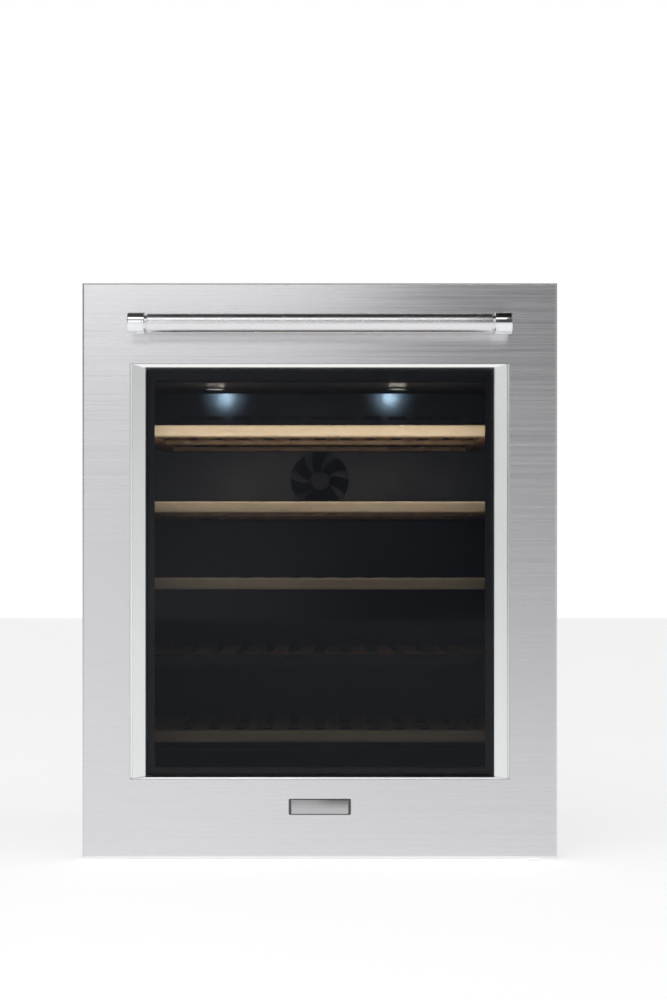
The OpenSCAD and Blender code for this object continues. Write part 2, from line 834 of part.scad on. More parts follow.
// Bent copper pipe along straight legs, with round elbows
module pipe(points) {
    for (i = [0:len(points) - 2]) {
        a = points[i];
        v = points[i + 1] - a;
        len = norm(v);
        translate(a) rotate([0, acos(v[2] / len), atan2(v[1], v[0])]) cylinder(d = pipe_d, h = len);
        if (i > 0) translate(a) sphere(d = pipe_d);
    }
}

module refrigerant_pipes() {
    z_run = z_comp - 22;
    x_out = x_comp_mid + compressor_d / 2 + 10;
    z_evap = z_evaporator - 20;
    color([0.72, 0.43, 0.25]) {
        pipe([[x_out, y_comp_mid, z_comp_low + 40], [x_out + 12, y_comp_mid, z_comp_low + 40],
            [x_out + 12, y_comp_mid, z_run], [150, y_comp_mid, z_run],
            [150, y_comp_mid, z_body + base_t + condenser_h]]);
        pipe([[x_suction + 6, y_comp_mid, z_comp_low + 60], [x_suction, y_comp_mid, z_comp_low + 60],
            [x_suction, y_suction, z_comp - 12], [x_suction, y_suction, z_evap],
            [-60, y_suction, z_evap], [-60, y_suction, z_evaporator]]);
    }
}

// Open tray on the compressor, where the defrost water dries off
module evaporation_tray() {
    z0 = z_comp_low + 3 + compressor_h;
    color([0.2, 0.2, 0.22]) difference() {
        span([x_comp_mid - 40, x_comp_mid + 50], [y_comp_mid - 20, y_comp_mid + 55], [z0, z0 + 14]);
        span([x_comp_mid - 38.5, x_comp_mid + 48.5], [y_comp_mid - 18.5, y_comp_mid + 53.5],
            [z0 + 1.5, z0 + 14 + e]);
    }
}

module rear_cover() {
    color([0.3, 0.3, 0.31]) difference() {
        span([-half_body, half_body], [y_back - shell_t, y_back], [z_body, z_comp]);
        for (i = [-7:7], r = [0:1]) span([i * 30 - 11, i * 30 + 11], [y_back - shell_t - e, y_back + e],
            [z_body + 26 + r * 60, z_body + 31 + r * 60]);
        for (i = [-7:7], r = [0:1]) span([i * 30 - 11, i * 30 + 11], [y_back - shell_t - e, y_back + e],
            [z_body + 42 + r * 60, z_body + 47 + r * 60]);
        span([x_inlet - inlet_w / 2 - 2, x_inlet + inlet_w / 2 + 2], [y_back - shell_t - e, y_back + e],
            [z_inlet - inlet_h / 2 - 2, z_inlet + inlet_h / 2 + 2]);
        cover_screw_holes(y_back - 10);
    }
}

// Recessed appliance inlet with three flat pins
module power_inlet() {
    color([0.07, 0.07, 0.08]) difference() {
        span([x_inlet - inlet_w / 2 - 2, x_inlet + inlet_w / 2 + 2], [y_back - 26, y_back],
            [z_inlet - inlet_h / 2 - 2, z_inlet + inlet_h / 2 + 2]);
        span([x_inlet - inlet_w / 2, x_inlet + inlet_w / 2], [y_back - 22, y_back + e],
            [z_inlet - inlet_h / 2, z_inlet + inlet_h / 2]);
    }
    color([0.75, 0.73, 0.6]) for (p = [[-7, -2], [0, 3], [7, -2]])
        span([x_inlet + p[0] - 1, x_inlet + p[0] + 1], [y_back - 23, y_back - 8],
            [z_inlet + p[1] - 2, z_inlet + p[1] + 2]);
}

// Pan head screws on the top, under the bottom bracket and in the rear cover
module cabinet_screws() {
    color([0.65, 0.65, 0.67]) {
        for (x = NICHE_X) pan_screw([x, y_top_screw, z_top + niche_t], [180, 0, 0], 9);
        for (x = BRACKET_X) {
            pan_screw([x, y_top_screw, z_top + bracket_t], [180, 0, 0], 10);
            pan_screw([x, y_top_screw, z_body - bracket_t], [0, 0, 0], 10);
        }
        for (p = COVER_SCREWS) pan_screw([p[0], y_back, p[1]], [90, 0, 0], 8);
    }
}

// A screw whose shank runs along +Z from the seat of its head, with a cross recess
module pan_screw(p, turn, len) {
    translate(p) rotate(turn) difference() {
        union() {
            cylinder(d = screw_d, h = len);
            translate([0, 0, -head_h]) cylinder(d = head_d, h = head_h);
        }
        for (a = [0, 90]) rotate([0, 0, a]) translate([-2.2, -0.5, -head_h - e]) cube([4.4, 1, 1.3 + e]);
    }
}

// ---------- ceiling unit ----------

module ceiling_unit() {
    color([0.1, 0.1, 0.11]) difference() {
        span([-unit_half, unit_half], [y_unit, y_unit + unit_d], [z_unit, z_ceiling]);
        span([-unit_half + unit_t, unit_half - unit_t], [y_unit + unit_face_t, y_unit + unit_d - unit_t],
            [z_unit + unit_t, z_ceiling - unit_t]);
        for (i = [0:3]) rod_y(button_d + 2 * gap, unit_face_t + 2 * e, [button_x(i), y_unit - e, z_face]);
        span([-display_w / 2, display_w / 2], [y_unit - e, y_unit + display_t],
            [z_face - display_h / 2, z_face + display_h / 2]);
        for (x = LAMP_X) rod_z(lamp_d, unit_t + 2 * e, [x, y_unit + unit_d / 2, z_unit - e]);
        for (i = [-6:6]) span([i * 34 - 12, i * 34 + 12], [y_unit + unit_d - unit_t - e, y_unit + unit_d + e],
            [z_face - 3, z_face + 3]);
    }
}

// Lamp lenses: a disc in the ceiling unit with a slightly raised face
module lamp_lenses() {
    color([0.9, 0.95, 1]) for (x = LAMP_X)
        translate([x, y_unit + unit_d / 2, z_unit]) {
            cylinder(d = lamp_d, h = unit_t);
            translate([0, 0, -1.5]) cylinder(d1 = lamp_d - 3, d2 = lamp_d, h = 1.5);
        }
}

module display_window() {
    color([0.03, 0.03, 0.04]) span([-display_w / 2, display_w / 2], [y_unit, y_unit + display_t],
        [z_face - display_h / 2, z_face + display_h / 2]);
}

// A push button: a cap through the face, held from behind by a flange
module push_button(i) {
    stand = button_travel + 1;
    color([0.6, 0.6, 0.62]) translate([button_x(i), 0, z_face]) {
        rod_y(button_d, stand + unit_face_t + gap, [0, y_unit - stand, 0]);
        rod_y(button_d + 3, 1.5, [0, y_unit + unit_face_t + gap, 0]);
    }
}

// ---------- shelves ----------

// Oak front strip with softened long edges
module shelf_front(i) {
    c = 1.5;
    color(i == 4 ? [0.1, 0.11, 0.13] : [0.72, 0.55, 0.36])
        translate([-front_half, y_shelf, shelf_z(i)]) rotate([0, 90, 0]) linear_extrude(2 * front_half)
            polygon([[-shelf_h / 2 + c, 0], [shelf_h / 2 - c, 0], [shelf_h / 2, c], [shelf_h / 2, front_d],
                [-shelf_h / 2, front_d], [-shelf_h / 2, c]]);
}

// Side bars and a rear bar that carry slats running front to back
module shelf_slats(i) {
    y0 = y_shelf + front_d;
    y1 = shelf_back(i);
    z0 = shelf_z(i) - shelf_h / 2;
    inner = shelf_half - side_bar_w;
    pitch = 2 * inner / slat_count;
    color([0.7, 0.52, 0.33]) {
        for (s = [-1, 1]) span([s > 0 ? inner : -shelf_half, s > 0 ? shelf_half : -inner], [y0, y1],
            [z0, z0 + shelf_h]);
        for (y = [y0, (y0 + y1) / 2 - front_d / 2, y1 - front_d])
            span([-inner, inner], [y, y + front_d], [z0, z0 + shelf_h - slat_t]);
        for (k = [0:slat_count - 1]) span([-inner + (k + 0.5) * pitch - slat_w / 2,
            -inner + (k + 0.5) * pitch + slat_w / 2], [y0, y1],
            [z0 + shelf_h - slat_t, z0 + shelf_h]);
    }
}

// Steel runners on both sides of a shelf, grooved for the balls of the rail
module shelf_runners(i) {
    y0 = y_shelf + front_d;
    y1 = shelf_back(i);
    color([0.7, 0.71, 0.73]) mirrored() difference() {
        span([x_runner, x_runner + runner_w], [y0, y1],
            [shelf_z(i) - runner_h / 2, shelf_z(i) + runner_h / 2]);
        span([x_runner + 5, x_runner + runner_w + e], [y0 - e, y1 + e],
            [shelf_z(i) - 2.5, shelf_z(i) + 2.5]);
    }
}

// Channel rails on the liner walls, one pair for each shelf
module fixed_rails() {
    color([0.62, 0.63, 0.65]) for (i = [1:shelf_count]) mirrored() difference() {
        span([half_cavity - rail_t - runner_gap - runner_w + 3, half_cavity],
            [y_shelf + front_d + 3, shelf_back(i) - 3], [shelf_z(i) - rail_h / 2, shelf_z(i) + rail_h / 2]);
        span([0, half_cavity - rail_t], [y_shelf, y_back],
            [shelf_z(i) - rail_h / 2 + rail_t, shelf_z(i) + rail_h / 2 - rail_t]);
    }
}

module rubber_feet() {
    x = half_body - 45;
    color([0.1, 0.1, 0.1]) for (sx = [-1, 1], y = [y_body + 85, y_back - 45])
        rod_z(foot_d, foot_h, [sx * x, y, 0]);
}

outer_shell();
back_panel();
base_plate();
base_grille();
cabinet_insulation();
inner_liner();
air_duct_cover();
evaporator();
evaporator_fan_frame();
evaporator_fan_rotor();
condenser();
condenser_fan_frame();
condenser_fan_rotor();
compressor();
compressor_mounts();
refrigerant_pipes();
evaporation_tray();
rear_cover();
cabinet_screws();
power_inlet();
ceiling_unit();
lamp_lenses();
display_window();
push_button(0);  // button_power
push_button(1);  // button_light
push_button(2);  // button_up
push_button(3);  // button_down
fixed_rails();
rubber_feet();
hinge_bracket_top();
hinge_bracket_bottom();
hinge_pins();
niche_brackets();
shelf_front(1);  // shelf_front_1
shelf_slats(1);  // shelf_slats_1
shelf_runners(1);  // shelf_runners_1
shelf_front(2);  // shelf_front_2
shelf_slats(2);  // shelf_slats_2
shelf_runners(2);  // shelf_runners_2
shelf_front(3);  // shelf_front_3
shelf_slats(3);  // shelf_slats_3
shelf_runners(3);  // shelf_runners_3
shelf_front(4);  // shelf_front_4
shelf_slats(4);  // shelf_slats_4
shelf_runners(4);  // shelf_runners_4
shelf_front(5);  // shelf_front_5
shelf_slats(5);  // shelf_slats_5
shelf_runners(5);  // shelf_runners_5
door_panel();
window_trims();
door_core();
glass_outer();
glass_inner();
glazing_spacer();
door_gasket();
hinge_bushes();
handle_bar();
handle_ends();
handle_posts();
blank_plate();
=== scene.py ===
"""Finishes and fine pieces of a built-in wine cooler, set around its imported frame.

Every length is in metres in the frame's own axes: +X to the right of the door, +Y to the back
and +Z up. Places come from the frame's nodes, so each piece follows the part that it dresses.
"""

import logging
import math
from dataclasses import dataclass
from enum import Enum
from typing import Any, Iterable, Optional, Sequence

import bmesh
import bpy
from mathutils import Euler, Matrix, Vector


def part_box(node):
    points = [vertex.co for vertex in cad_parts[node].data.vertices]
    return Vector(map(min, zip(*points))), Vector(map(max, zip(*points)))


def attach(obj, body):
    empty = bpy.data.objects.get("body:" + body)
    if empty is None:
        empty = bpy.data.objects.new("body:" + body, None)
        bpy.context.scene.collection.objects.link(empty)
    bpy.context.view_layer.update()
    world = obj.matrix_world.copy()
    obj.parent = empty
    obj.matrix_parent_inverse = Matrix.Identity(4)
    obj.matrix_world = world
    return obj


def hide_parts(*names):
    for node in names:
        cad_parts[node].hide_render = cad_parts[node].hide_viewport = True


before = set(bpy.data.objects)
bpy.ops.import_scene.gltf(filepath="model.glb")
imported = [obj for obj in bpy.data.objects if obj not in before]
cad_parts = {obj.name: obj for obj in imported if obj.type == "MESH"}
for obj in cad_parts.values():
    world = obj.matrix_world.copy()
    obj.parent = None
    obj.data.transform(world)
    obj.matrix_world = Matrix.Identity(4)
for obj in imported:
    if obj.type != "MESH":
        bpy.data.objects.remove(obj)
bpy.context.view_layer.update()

LOG = logging.getLogger("wine_cooler")
MM = 0.001
WELD = 1e-6
FLAT_ANGLE = 0.4
CABINET = "cabinet"
DOOR = "door"
SHELVES = range(1, 6)
BLACK_SHELF = 4

Colour = tuple[float, float, float]
Triple = tuple[float, float, float]
Stops = tuple[tuple[float, float], ...]


class Along(Enum):
    """The axis that a grain, a row or a turned piece runs along."""

    X = 0
    Y = 1
    Z = 2

    def scale(self, lengthwise: float, crosswise: float) -> Triple:
        """Gives a pattern's scale with its long direction on this axis.

        Args:
            lengthwise: How many features fit in a metre along the axis.
            crosswise: How many fit in a metre across it.

        Returns:
            The scale on X, Y and Z.
        """
        return tuple(lengthwise if i == self.value else crosswise for i in range(3))


# ---------- finishes ----------


class Bench:
    """One material's node tree, built step by step round a Principled shader."""

    def __init__(self, name: str) -> None:
        """Makes the material with its shader and output.

        Args:
            name: The name of the finish.
        """
        self.material = bpy.data.materials.new(name)
        self.material.use_nodes = True
        self.tree = self.material.node_tree
        self.tree.nodes.clear()
        self.output = self.add("ShaderNodeOutputMaterial")
        self.shader = self.add("ShaderNodeBsdfPrincipled")
        self.join(self.shader.outputs[0], self.output.inputs[0])
        self.coordinates = self.add("ShaderNodeTexCoord")

    def add(self, kind: str, **settings: Any) -> bpy.types.Node:
        """Adds a node and sets its plain properties.

        Args:
            kind: The node's type name.
            settings: Properties of the node.

        Returns:
            The new node.
        """
        node = self.tree.nodes.new(kind)
        for key, value in settings.items():
            setattr(node, key, value)
        return node

    def join(self, source: bpy.types.NodeSocket, target: bpy.types.NodeSocket) -> None:
        """Links two sockets."""
        self.tree.links.new(source, target)

    def put(self, **values: Any) -> None:
        """Sets numbers on the shader's own sockets, with _ for a space in a name."""
        for key, value in values.items():
            self.shader.inputs[key.replace("_", " ")].default_value = value

    def place(self, scale: Triple, shift: Triple = (0, 0, 0), space: str = "Object") -> bpy.types.NodeSocket:
        """Gives scaled coordinates of the piece.

        Args:
            scale: Features in a metre on each axis.
            shift: Moves the pattern.
            space: Object, or UV for a piece that has its own map.

        Returns:
            The vector socket.
        """
        mapping = self.add("ShaderNodeMapping")
        mapping.inputs["Scale"].default_value = scale
        mapping.inputs["Location"].default_value = shift
        self.join(self.coordinates.outputs[space], mapping.inputs["Vector"])
        return mapping.outputs[0]

    def noise(self, scale: Triple, detail: float = 3.0, twist: float = 0.0,
              shift: Triple = (0, 0, 0)) -> bpy.types.NodeSocket:
        """Gives a cloudy pattern from 0 to 1.

        Args:
            scale: Features in a metre on each axis.
            detail: How many finer layers it has.
            twist: How far it is stirred.
            shift: Moves the pattern.

        Returns:
            The value socket.
        """
        node = self.add("ShaderNodeTexNoise")
        node.inputs["Scale"].default_value = 1.0
        node.inputs["Detail"].default_value = detail
        node.inputs["Distortion"].default_value = twist
        self.join(self.place(scale, shift), node.inputs["Vector"])
        return node.outputs[0]

    def cells(self, scale: Triple, output: str = "Distance") -> bpy.types.NodeSocket:
        """Gives a cell pattern, as a distance or as one colour for each cell."""
        node = self.add("ShaderNodeTexVoronoi")
        node.inputs["Scale"].default_value = 1.0
        self.join(self.place(scale), node.inputs["Vector"])
        return node.outputs[output]

    def remap(self, value: bpy.types.NodeSocket, low: float, high: float,
              start: float = 0.0, end: float = 1.0) -> bpy.types.NodeSocket:
        """Maps start to end onto low to high, and holds it there.

        Args:
            value: The socket to map.
            low: What start becomes.
            high: What end becomes.
            start: The lower limit of the input.
            end: The upper limit of the input.

        Returns:
            The mapped value.
        """
        node = self.add("ShaderNodeMapRange")
        for label, number in (("From Min", start), ("From Max", end), ("To Min", low), ("To Max", high)):
            node.inputs[label].default_value = number
        self.join(value, node.inputs["Value"])
        return node.outputs[0]

    def math(self, operation: str, first: bpy.types.NodeSocket, second: Any = 0.5) -> bpy.types.NodeSocket:
        """Joins two values by one operation."""
        node = self.add("ShaderNodeMath", operation=operation)
        self.join(first, node.inputs[0])
        if isinstance(second, bpy.types.NodeSocket):
            self.join(second, node.inputs[1])
        else:
            node.inputs[1].default_value = second
        return node.outputs[0]

    def mix(self, factor: bpy.types.NodeSocket, first: Any, second: Any) -> bpy.types.NodeSocket:
        """Mixes two colours, each a socket or three numbers."""
        node = self.add("ShaderNodeMix", data_type="RGBA")
        self.join(factor, node.inputs[0])
        for value, target in ((first, node.inputs[6]), (second, node.inputs[7])):
            if isinstance(value, bpy.types.NodeSocket):
                self.join(value, target)
            else:
                target.default_value = (*value, 1.0)
        return node.outputs[2]

    def colour(self, socket: bpy.types.NodeSocket) -> None:
        """Feeds the base colour."""
        self.join(socket, self.shader.inputs["Base Color"])

    def rough(self, socket: bpy.types.NodeSocket) -> None:
        """Feeds the roughness."""
        self.join(socket, self.shader.inputs["Roughness"])

    def relief(self, height: bpy.types.NodeSocket, depth: float, strength: float = 0.5) -> None:
        """Raises the surface by a height pattern.

        Args:
            height: The pattern from 0 to 1.
            depth: Its full depth.
            strength: How much of it shows.
        """
        bump = self.add("ShaderNodeBump")
        bump.inputs["Distance"].default_value = depth
        bump.inputs["Strength"].default_value = strength
        self.join(height, bump.inputs["Height"])
        self.join(bump.outputs[0], self.shader.inputs["Normal"])

    def tangent(self, direction: Triple) -> None:
        """Turns the highlight to a direction of the piece itself."""
        vector = self.add("ShaderNodeCombineXYZ")
        for index, value in enumerate(direction):
            vector.inputs[index].default_value = value
        turn = self.add("ShaderNodeVectorTransform", vector_type="VECTOR",
                        convert_from="OBJECT", convert_to="WORLD")
        self.join(vector.outputs[0], turn.inputs[0])
        self.join(turn.outputs[0], self.shader.inputs["Tangent"])


def tinted(colour: Colour, amount: float) -> Colour:
    """Gives a colour made lighter or darker by a factor."""
    return tuple(min(1.0, c * amount) for c in colour)


@dataclass(frozen=True)
class Finish:
    """What every finish has: a name, a colour and a roughness."""

    name: str
    colour: Colour
    roughness: float = 0.4

    def start(self) -> Bench:
        """Makes a bench with the plain colour and roughness."""
        bench = Bench(self.name)
        bench.put(Base_Color=(*self.colour, 1.0), Roughness=self.roughness)
        return bench

    def make(self) -> bpy.types.Material:
        """Builds the material."""
        return self.start().material


@dataclass(frozen=True)
class BrushedMetal(Finish):
    """Metal with fine parallel brush lines."""

    grain: Along = Along.X
    fineness: float = 1500.0
    contrast: float = 0.05
    depth: float = 0.00005
    anisotropy: float = 0.6

    def make(self) -> bpy.types.Material:
        """Builds streaks in colour, roughness and relief along the grain."""
        bench = self.start()
        bench.put(Metallic=1.0, Anisotropic=self.anisotropy)
        fine = bench.noise(self.grain.scale(9.0, self.fineness), 2.0)
        long = bench.noise(self.grain.scale(2.5, self.fineness * 0.22), 3.0)
        lines = bench.math("MULTIPLY", bench.math("ADD", fine, long), 0.5)
        bench.colour(bench.mix(bench.remap(lines, 0, 1, 0.3, 0.7),
                               tinted(self.colour, 1 - self.contrast),
                               tinted(self.colour, 1 + self.contrast)))
        bench.rough(bench.remap(lines, self.roughness - 0.05, self.roughness + 0.05, 0.3, 0.7))
        bench.relief(lines, self.depth, 0.35)
        across = {Along.X: (0.04, 0.06, 1.0), Along.Y: (0.06, 0.04, 1.0), Along.Z: (1.0, 0.06, 0.04)}
        bench.tangent(across[self.grain])
        return bench.material


@dataclass(frozen=True)
class KnurledMetal(Finish):
    """A turned bar with a very fine diamond knurl, drawn on the piece's own map."""

    pitch: float = 0.0011

    def make(self) -> bpy.types.Material:
        """Builds two crossing sets of grooves from the map's metres, with painted shade that darkens the
        colour in the grooves.
        """
        bench = self.start()
        bench.put(Metallic=1.0)
        turn = 2 * math.pi / self.pitch
        split = bench.add("ShaderNodeSeparateXYZ")
        bench.join(bench.place((turn, turn, turn), space="UV"), split.inputs[0])
        rise = bench.math("SINE", bench.math("ADD", split.outputs[0], split.outputs[1]))
        fall = bench.math("SINE", bench.math("SUBTRACT", split.outputs[0], split.outputs[1]))
        diamonds = bench.remap(bench.math("MULTIPLY", rise, fall), 0, 1, -1, 1)
        bench.relief(diamonds, 0.00006, 0.5)
        wear = bench.noise((30, 60, 60), 3.0)
        bench.rough(bench.remap(wear, self.roughness - 0.04, self.roughness + 0.05, 0.3, 0.7))
        # painted shade: the colour drops to 0.9 where the knurl's height is low, so the grooves read darker
        bench.colour(bench.mix(bench.remap(diamonds, 0, 1), tinted(self.colour, 0.9), self.colour))
        return bench.material


@dataclass(frozen=True)
class PolishedMetal(Finish):
    """Plated metal with faint wiping marks."""

    def make(self) -> bpy.types.Material:
        """Builds a mirror finish with a little variation in its gloss."""
        bench = self.start()
        bench.put(Metallic=1.0)
        marks = bench.noise((60, 160, 60), 4.0, 0.6)
        bench.rough(bench.remap(marks, self.roughness, self.roughness + 0.06, 0.45, 0.8))
        bench.relief(marks, 0.00002, 0.1)
        return bench.material


@dataclass(frozen=True)
class SatinMetal(Finish):
    """Anodised metal with an even satin gloss."""

    def make(self) -> bpy.types.Material:
        """Builds a fine even grain and slow changes of gloss."""
        bench = self.start()
        bench.put(Metallic=1.0)
        slow = bench.noise((9, 9, 9), 2.0)
        bench.rough(bench.remap(slow, self.roughness - 0.02, self.roughness + 0.03, 0.3, 0.7))
        bench.relief(bench.noise((2600,) * 3, 1.0), 0.00001, 0.15)
        return bench.material


@dataclass(frozen=True)
class ZincSheet(Finish):
    """Galvanised sheet with a soft crystal spangle."""

    def make(self) -> bpy.types.Material:
        """Builds large flat crystals in colour and gloss."""
        bench = self.start()
        bench.put(Metallic=0.85)
        crystal = bench.cells((140, 140, 140), "Color")
        grey = bench.add("ShaderNodeRGBToBW")
        bench.join(crystal, grey.inputs[0])
        bench.colour(bench.mix(grey.outputs[0], tinted(self.colour, 0.88), tinted(self.colour, 1.12)))
        bench.rough(bench.remap(grey.outputs[0], self.roughness - 0.08, self.roughness + 0.08))
        bench.relief(bench.noise((12, 12, 12), 2.0), 0.0006, 0.12)
        return bench.material


@dataclass(frozen=True)
class Paint(Finish):
    """Baked powder paint with a fine orange peel."""

    peel: float = 900.0

    def make(self) -> bpy.types.Material:
        """Builds the peel, and faint rubbing in the gloss."""
        bench = self.start()
        peel = bench.noise((self.peel,) * 3, 1.0)
        rub = bench.noise((7, 7, 18), 4.0, 0.5)
        bench.relief(peel, 0.00012, 0.25)
        bench.rough(bench.remap(rub, self.roughness - 0.06, self.roughness + 0.08, 0.3, 0.7))
        bench.colour(bench.mix(bench.remap(rub, 0, 1, 0.35, 0.7), self.colour, tinted(self.colour, 1.25)))
        return bench.material


@dataclass(frozen=True)
class Plastic(Finish):
    """Moulded plastic with a spark-eroded grain."""

    grain: float = 1800.0
    depth: float = 0.00006

    def make(self) -> bpy.types.Material:
        """Builds the moulded grain and slow changes of gloss."""
        bench = self.start()
        grain = bench.noise((self.grain,) * 3, 2.0)
        slow = bench.noise((14, 14, 14), 3.0, 0.4)
        bench.relief(grain, self.depth, 0.35)
        bench.rough(bench.remap(slow, self.roughness - 0.05, self.roughness + 0.07, 0.3, 0.7))
        bench.colour(bench.mix(bench.remap(slow, 0, 1, 0.3, 0.7), tinted(self.colour, 0.9),
                               tinted(self.colour, 1.12)))
        return bench.material


@dataclass(frozen=True)
class Rubber(Finish):
    """Soft rubber with a dusty bloom."""

    def make(self) -> bpy.types.Material:
        """Builds the bloom and a fine skin."""
        bench = self.start()
        bench.put(Sheen_Weight=0.15, Sheen_Roughness=0.5)
        bloom = bench.noise((35, 35, 35), 5.0, 0.8)
        bench.colour(bench.mix(bench.remap(bloom, 0, 1, 0.4, 0.75), self.colour, tinted(self.colour, 1.8)))
        bench.rough(bench.remap(bloom, self.roughness - 0.1, self.roughness + 0.08))
        bench.relief(bench.noise((2200,) * 3, 1.0), 0.00008, 0.3)
        return bench.material


@dataclass(frozen=True)
class Oak(Finish):
    """Oiled oak: growth bands, fibres and dark pores that follow the board."""

    dark: Colour = (0.30, 0.17, 0.08)
    grain: Along = Along.X

    def make(self) -> bpy.types.Material:
        """Builds the board's figure in colour, gloss and relief."""
        bench = self.start()
        bands = bench.noise(self.grain.scale(3.5, 75.0), 4.0, 0.9)
        fibres = bench.noise(self.grain.scale(22.0, 900.0), 3.0)
        pores = bench.noise(self.grain.scale(70.0, 1700.0), 1.0, shift=(3, 5, 7))
        wood = bench.mix(bench.remap(bands, 0, 1, 0.38, 0.66), self.colour,
                         tuple((a + b) / 2 for a, b in zip(self.colour, self.dark)))
        wood = bench.mix(bench.remap(fibres, 0, 0.45, 0.45, 0.75), wood, self.dark)
        wood = bench.mix(bench.remap(pores, 0, 0.7, 0.62, 0.72), wood, self.dark)
        bench.colour(wood)
        bench.rough(bench.remap(bands, self.roughness - 0.05, self.roughness + 0.1, 0.3, 0.7))
        bench.relief(bench.math("SUBTRACT", fibres, pores), 0.0002, 0.3)
        return bench.material


@dataclass(frozen=True)
class Pane(Finish):
    """A glass pane that shows what is behind it, with its own mirror gloss."""

    cover: float = 0.3
    mirror: float = 0.5

    def make(self) -> bpy.types.Material:
        """Builds a thin tinted pane with faint wiping marks in its gloss."""
        bench = self.start()
        bench.put(Alpha=self.cover, IOR=1.52, Specular_IOR_Level=self.mirror)
        smears = bench.noise((5, 9, 22), 5.0, 1.2)
        bench.rough(bench.remap(smears, self.roughness, self.roughness + 0.05, 0.45, 0.8))
        return bench.material


@dataclass(frozen=True)
class Copper(Finish):
    """Drawn copper tube with a little tarnish."""

    def make(self) -> bpy.types.Material:
        """Builds patches of darker tarnish."""
        bench = self.start()
        bench.put(Metallic=1.0)
        patch = bench.noise((40, 40, 40), 5.0, 1.0)
        bench.colour(bench.mix(bench.remap(patch, 0, 0.8, 0.45, 0.7), self.colour, (0.28, 0.13, 0.08)))
        bench.rough(bench.remap(patch, self.roughness, self.roughness + 0.25, 0.4, 0.7))
        return bench.material


@dataclass(frozen=True)
class Foam(Finish):
    """Cut polyurethane foam with open cells."""

    def make(self) -> bpy.types.Material:
        """Builds cells in relief, and yellow patches."""
        bench = self.start()
        cells = bench.cells((700, 700, 700))
        tone = bench.noise((9, 9, 9), 4.0)
        bench.relief(cells, 0.0006, 0.6)
        bench.colour(bench.mix(tone, tinted(self.colour, 0.85), self.colour))
        return bench.material


@dataclass(frozen=True)
class LampLens(Finish):
    """A frosted lens with light behind it."""

    glow: float = 0.6

    def make(self) -> bpy.types.Material:
        """Builds a glowing frosted surface with moulded rings' sparkle."""
        bench = self.start()
        bench.put(Emission_Color=(*self.colour, 1.0), Emission_Strength=self.glow)
        bench.relief(bench.cells((900, 900, 900)), 0.0002, 0.3)
        return bench.material


@dataclass(frozen=True)
class PaleFloor(Finish):
    """A white studio floor that is lit a little from below."""

    lift: float = 0.72

    def make(self) -> bpy.types.Material:
        """Builds a plain matt floor with a soft light of its own."""
        bench = self.start()
        bench.put(Emission_Color=(1.0, 1.0, 1.0, 1.0), Emission_Strength=self.lift)
        return bench.material


MATERIALS: dict[str, bpy.types.Material] = {}


def material_of(finish: Finish) -> bpy.types.Material:
    """Gives a finish's material, made once."""
    if finish.name not in MATERIALS:
        MATERIALS[finish.name] = finish.make()
    return MATERIALS[finish.name]


DOOR_STEEL = BrushedMetal("door_steel", (0.76, 0.755, 0.78), 0.25, Along.X, 1500.0, 0.03, 0.00003)
TRIM_METAL = SatinMetal("bright_trim", (0.9, 0.92, 0.92), 0.3)
POST_STEEL = BrushedMetal("post_steel", (0.66, 0.66, 0.67), 0.3, Along.Y, 1200.0, 0.04, anisotropy=0.3)
GRIP_STEEL = KnurledMetal("grip_steel", (0.8, 0.8, 0.815), 0.24)
CAP_CHROME = PolishedMetal("cap_chrome", (0.83, 0.84, 0.86), 0.05)
PLATE_STEEL = BrushedMetal("plate_steel", (0.52, 0.52, 0.53), 0.34, Along.X, 2600.0, 0.06, anisotropy=0.4)
PLATE_EDGE = PolishedMetal("plate_edge", (0.1, 0.1, 0.105), 0.2)
OUTER_GLASS = Pane("outer_glass", (0.004, 0.006, 0.011), 0.015, 0.4, 0.2)
INNER_GLASS = Pane("inner_glass", (0.01, 0.014, 0.018), 0.01, 0.06, 0.2)
FRIT = Finish("glass_frit", (0.006, 0.007, 0.01), 0.25)
CORE_PLASTIC = Plastic("core_plastic", (0.035, 0.035, 0.038), 0.42)
BLACK_PLASTIC = Plastic("black_plastic", (0.03, 0.03, 0.032), 0.45)
LINER_PLASTIC = Plastic("liner_plastic", (0.035, 0.04, 0.05), 0.34, 1200.0)
DUCT_PLASTIC = Plastic("duct_plastic", (0.03, 0.036, 0.047), 0.38, 900.0)
UNIT_PLASTIC = Plastic("unit_plastic", (0.02, 0.022, 0.027), 0.4)
SHELL_PAINT = Paint("shell_paint", (0.06, 0.06, 0.065), 0.42)
POT_PAINT = Paint("compressor_paint", (0.018, 0.018, 0.02), 0.25, 300.0)
BLACK_FRONT = Paint("black_shelf_front", (0.008, 0.01, 0.014), 0.28, 1200.0)
ZINC = ZincSheet("zinc_sheet", (0.5, 0.51, 0.52), 0.42)
BRIGHT_STEEL = BrushedMetal("bright_steel", (0.62, 0.63, 0.65), 0.28, Along.Y, 1400.0, 0.05, anisotropy=0.4)
SCREW_STEEL = PolishedMetal("screw_steel", (0.55, 0.56, 0.58), 0.22)
FIN_METAL = BrushedMetal("fin_metal", (0.78, 0.78, 0.8), 0.32, Along.Z, 700.0, 0.05, anisotropy=0.1)
SPACER_METAL = BrushedMetal("spacer_metal", (0.09, 0.09, 0.1), 0.4, Along.X, 900.0, 0.05, anisotropy=0.1)
COPPER_TUBE = Copper("copper_tube", (0.72, 0.36, 0.22), 0.24)
BLACK_RUBBER = Rubber("black_rubber", (0.02, 0.02, 0.021), 0.62)
GASKET_RUBBER = Rubber("gasket_rubber", (0.03, 0.03, 0.032), 0.55)
FRONT_OAK = Oak("front_oak", (0.74, 0.6, 0.42), 0.42, (0.46, 0.33, 0.2), Along.X)
SLAT_OAK = Oak("slat_oak", (0.60, 0.42, 0.25), 0.48, (0.32, 0.18, 0.09), Along.Y)
FOAM_CORE = Foam("foam_core", (0.86, 0.76, 0.45), 0.9)
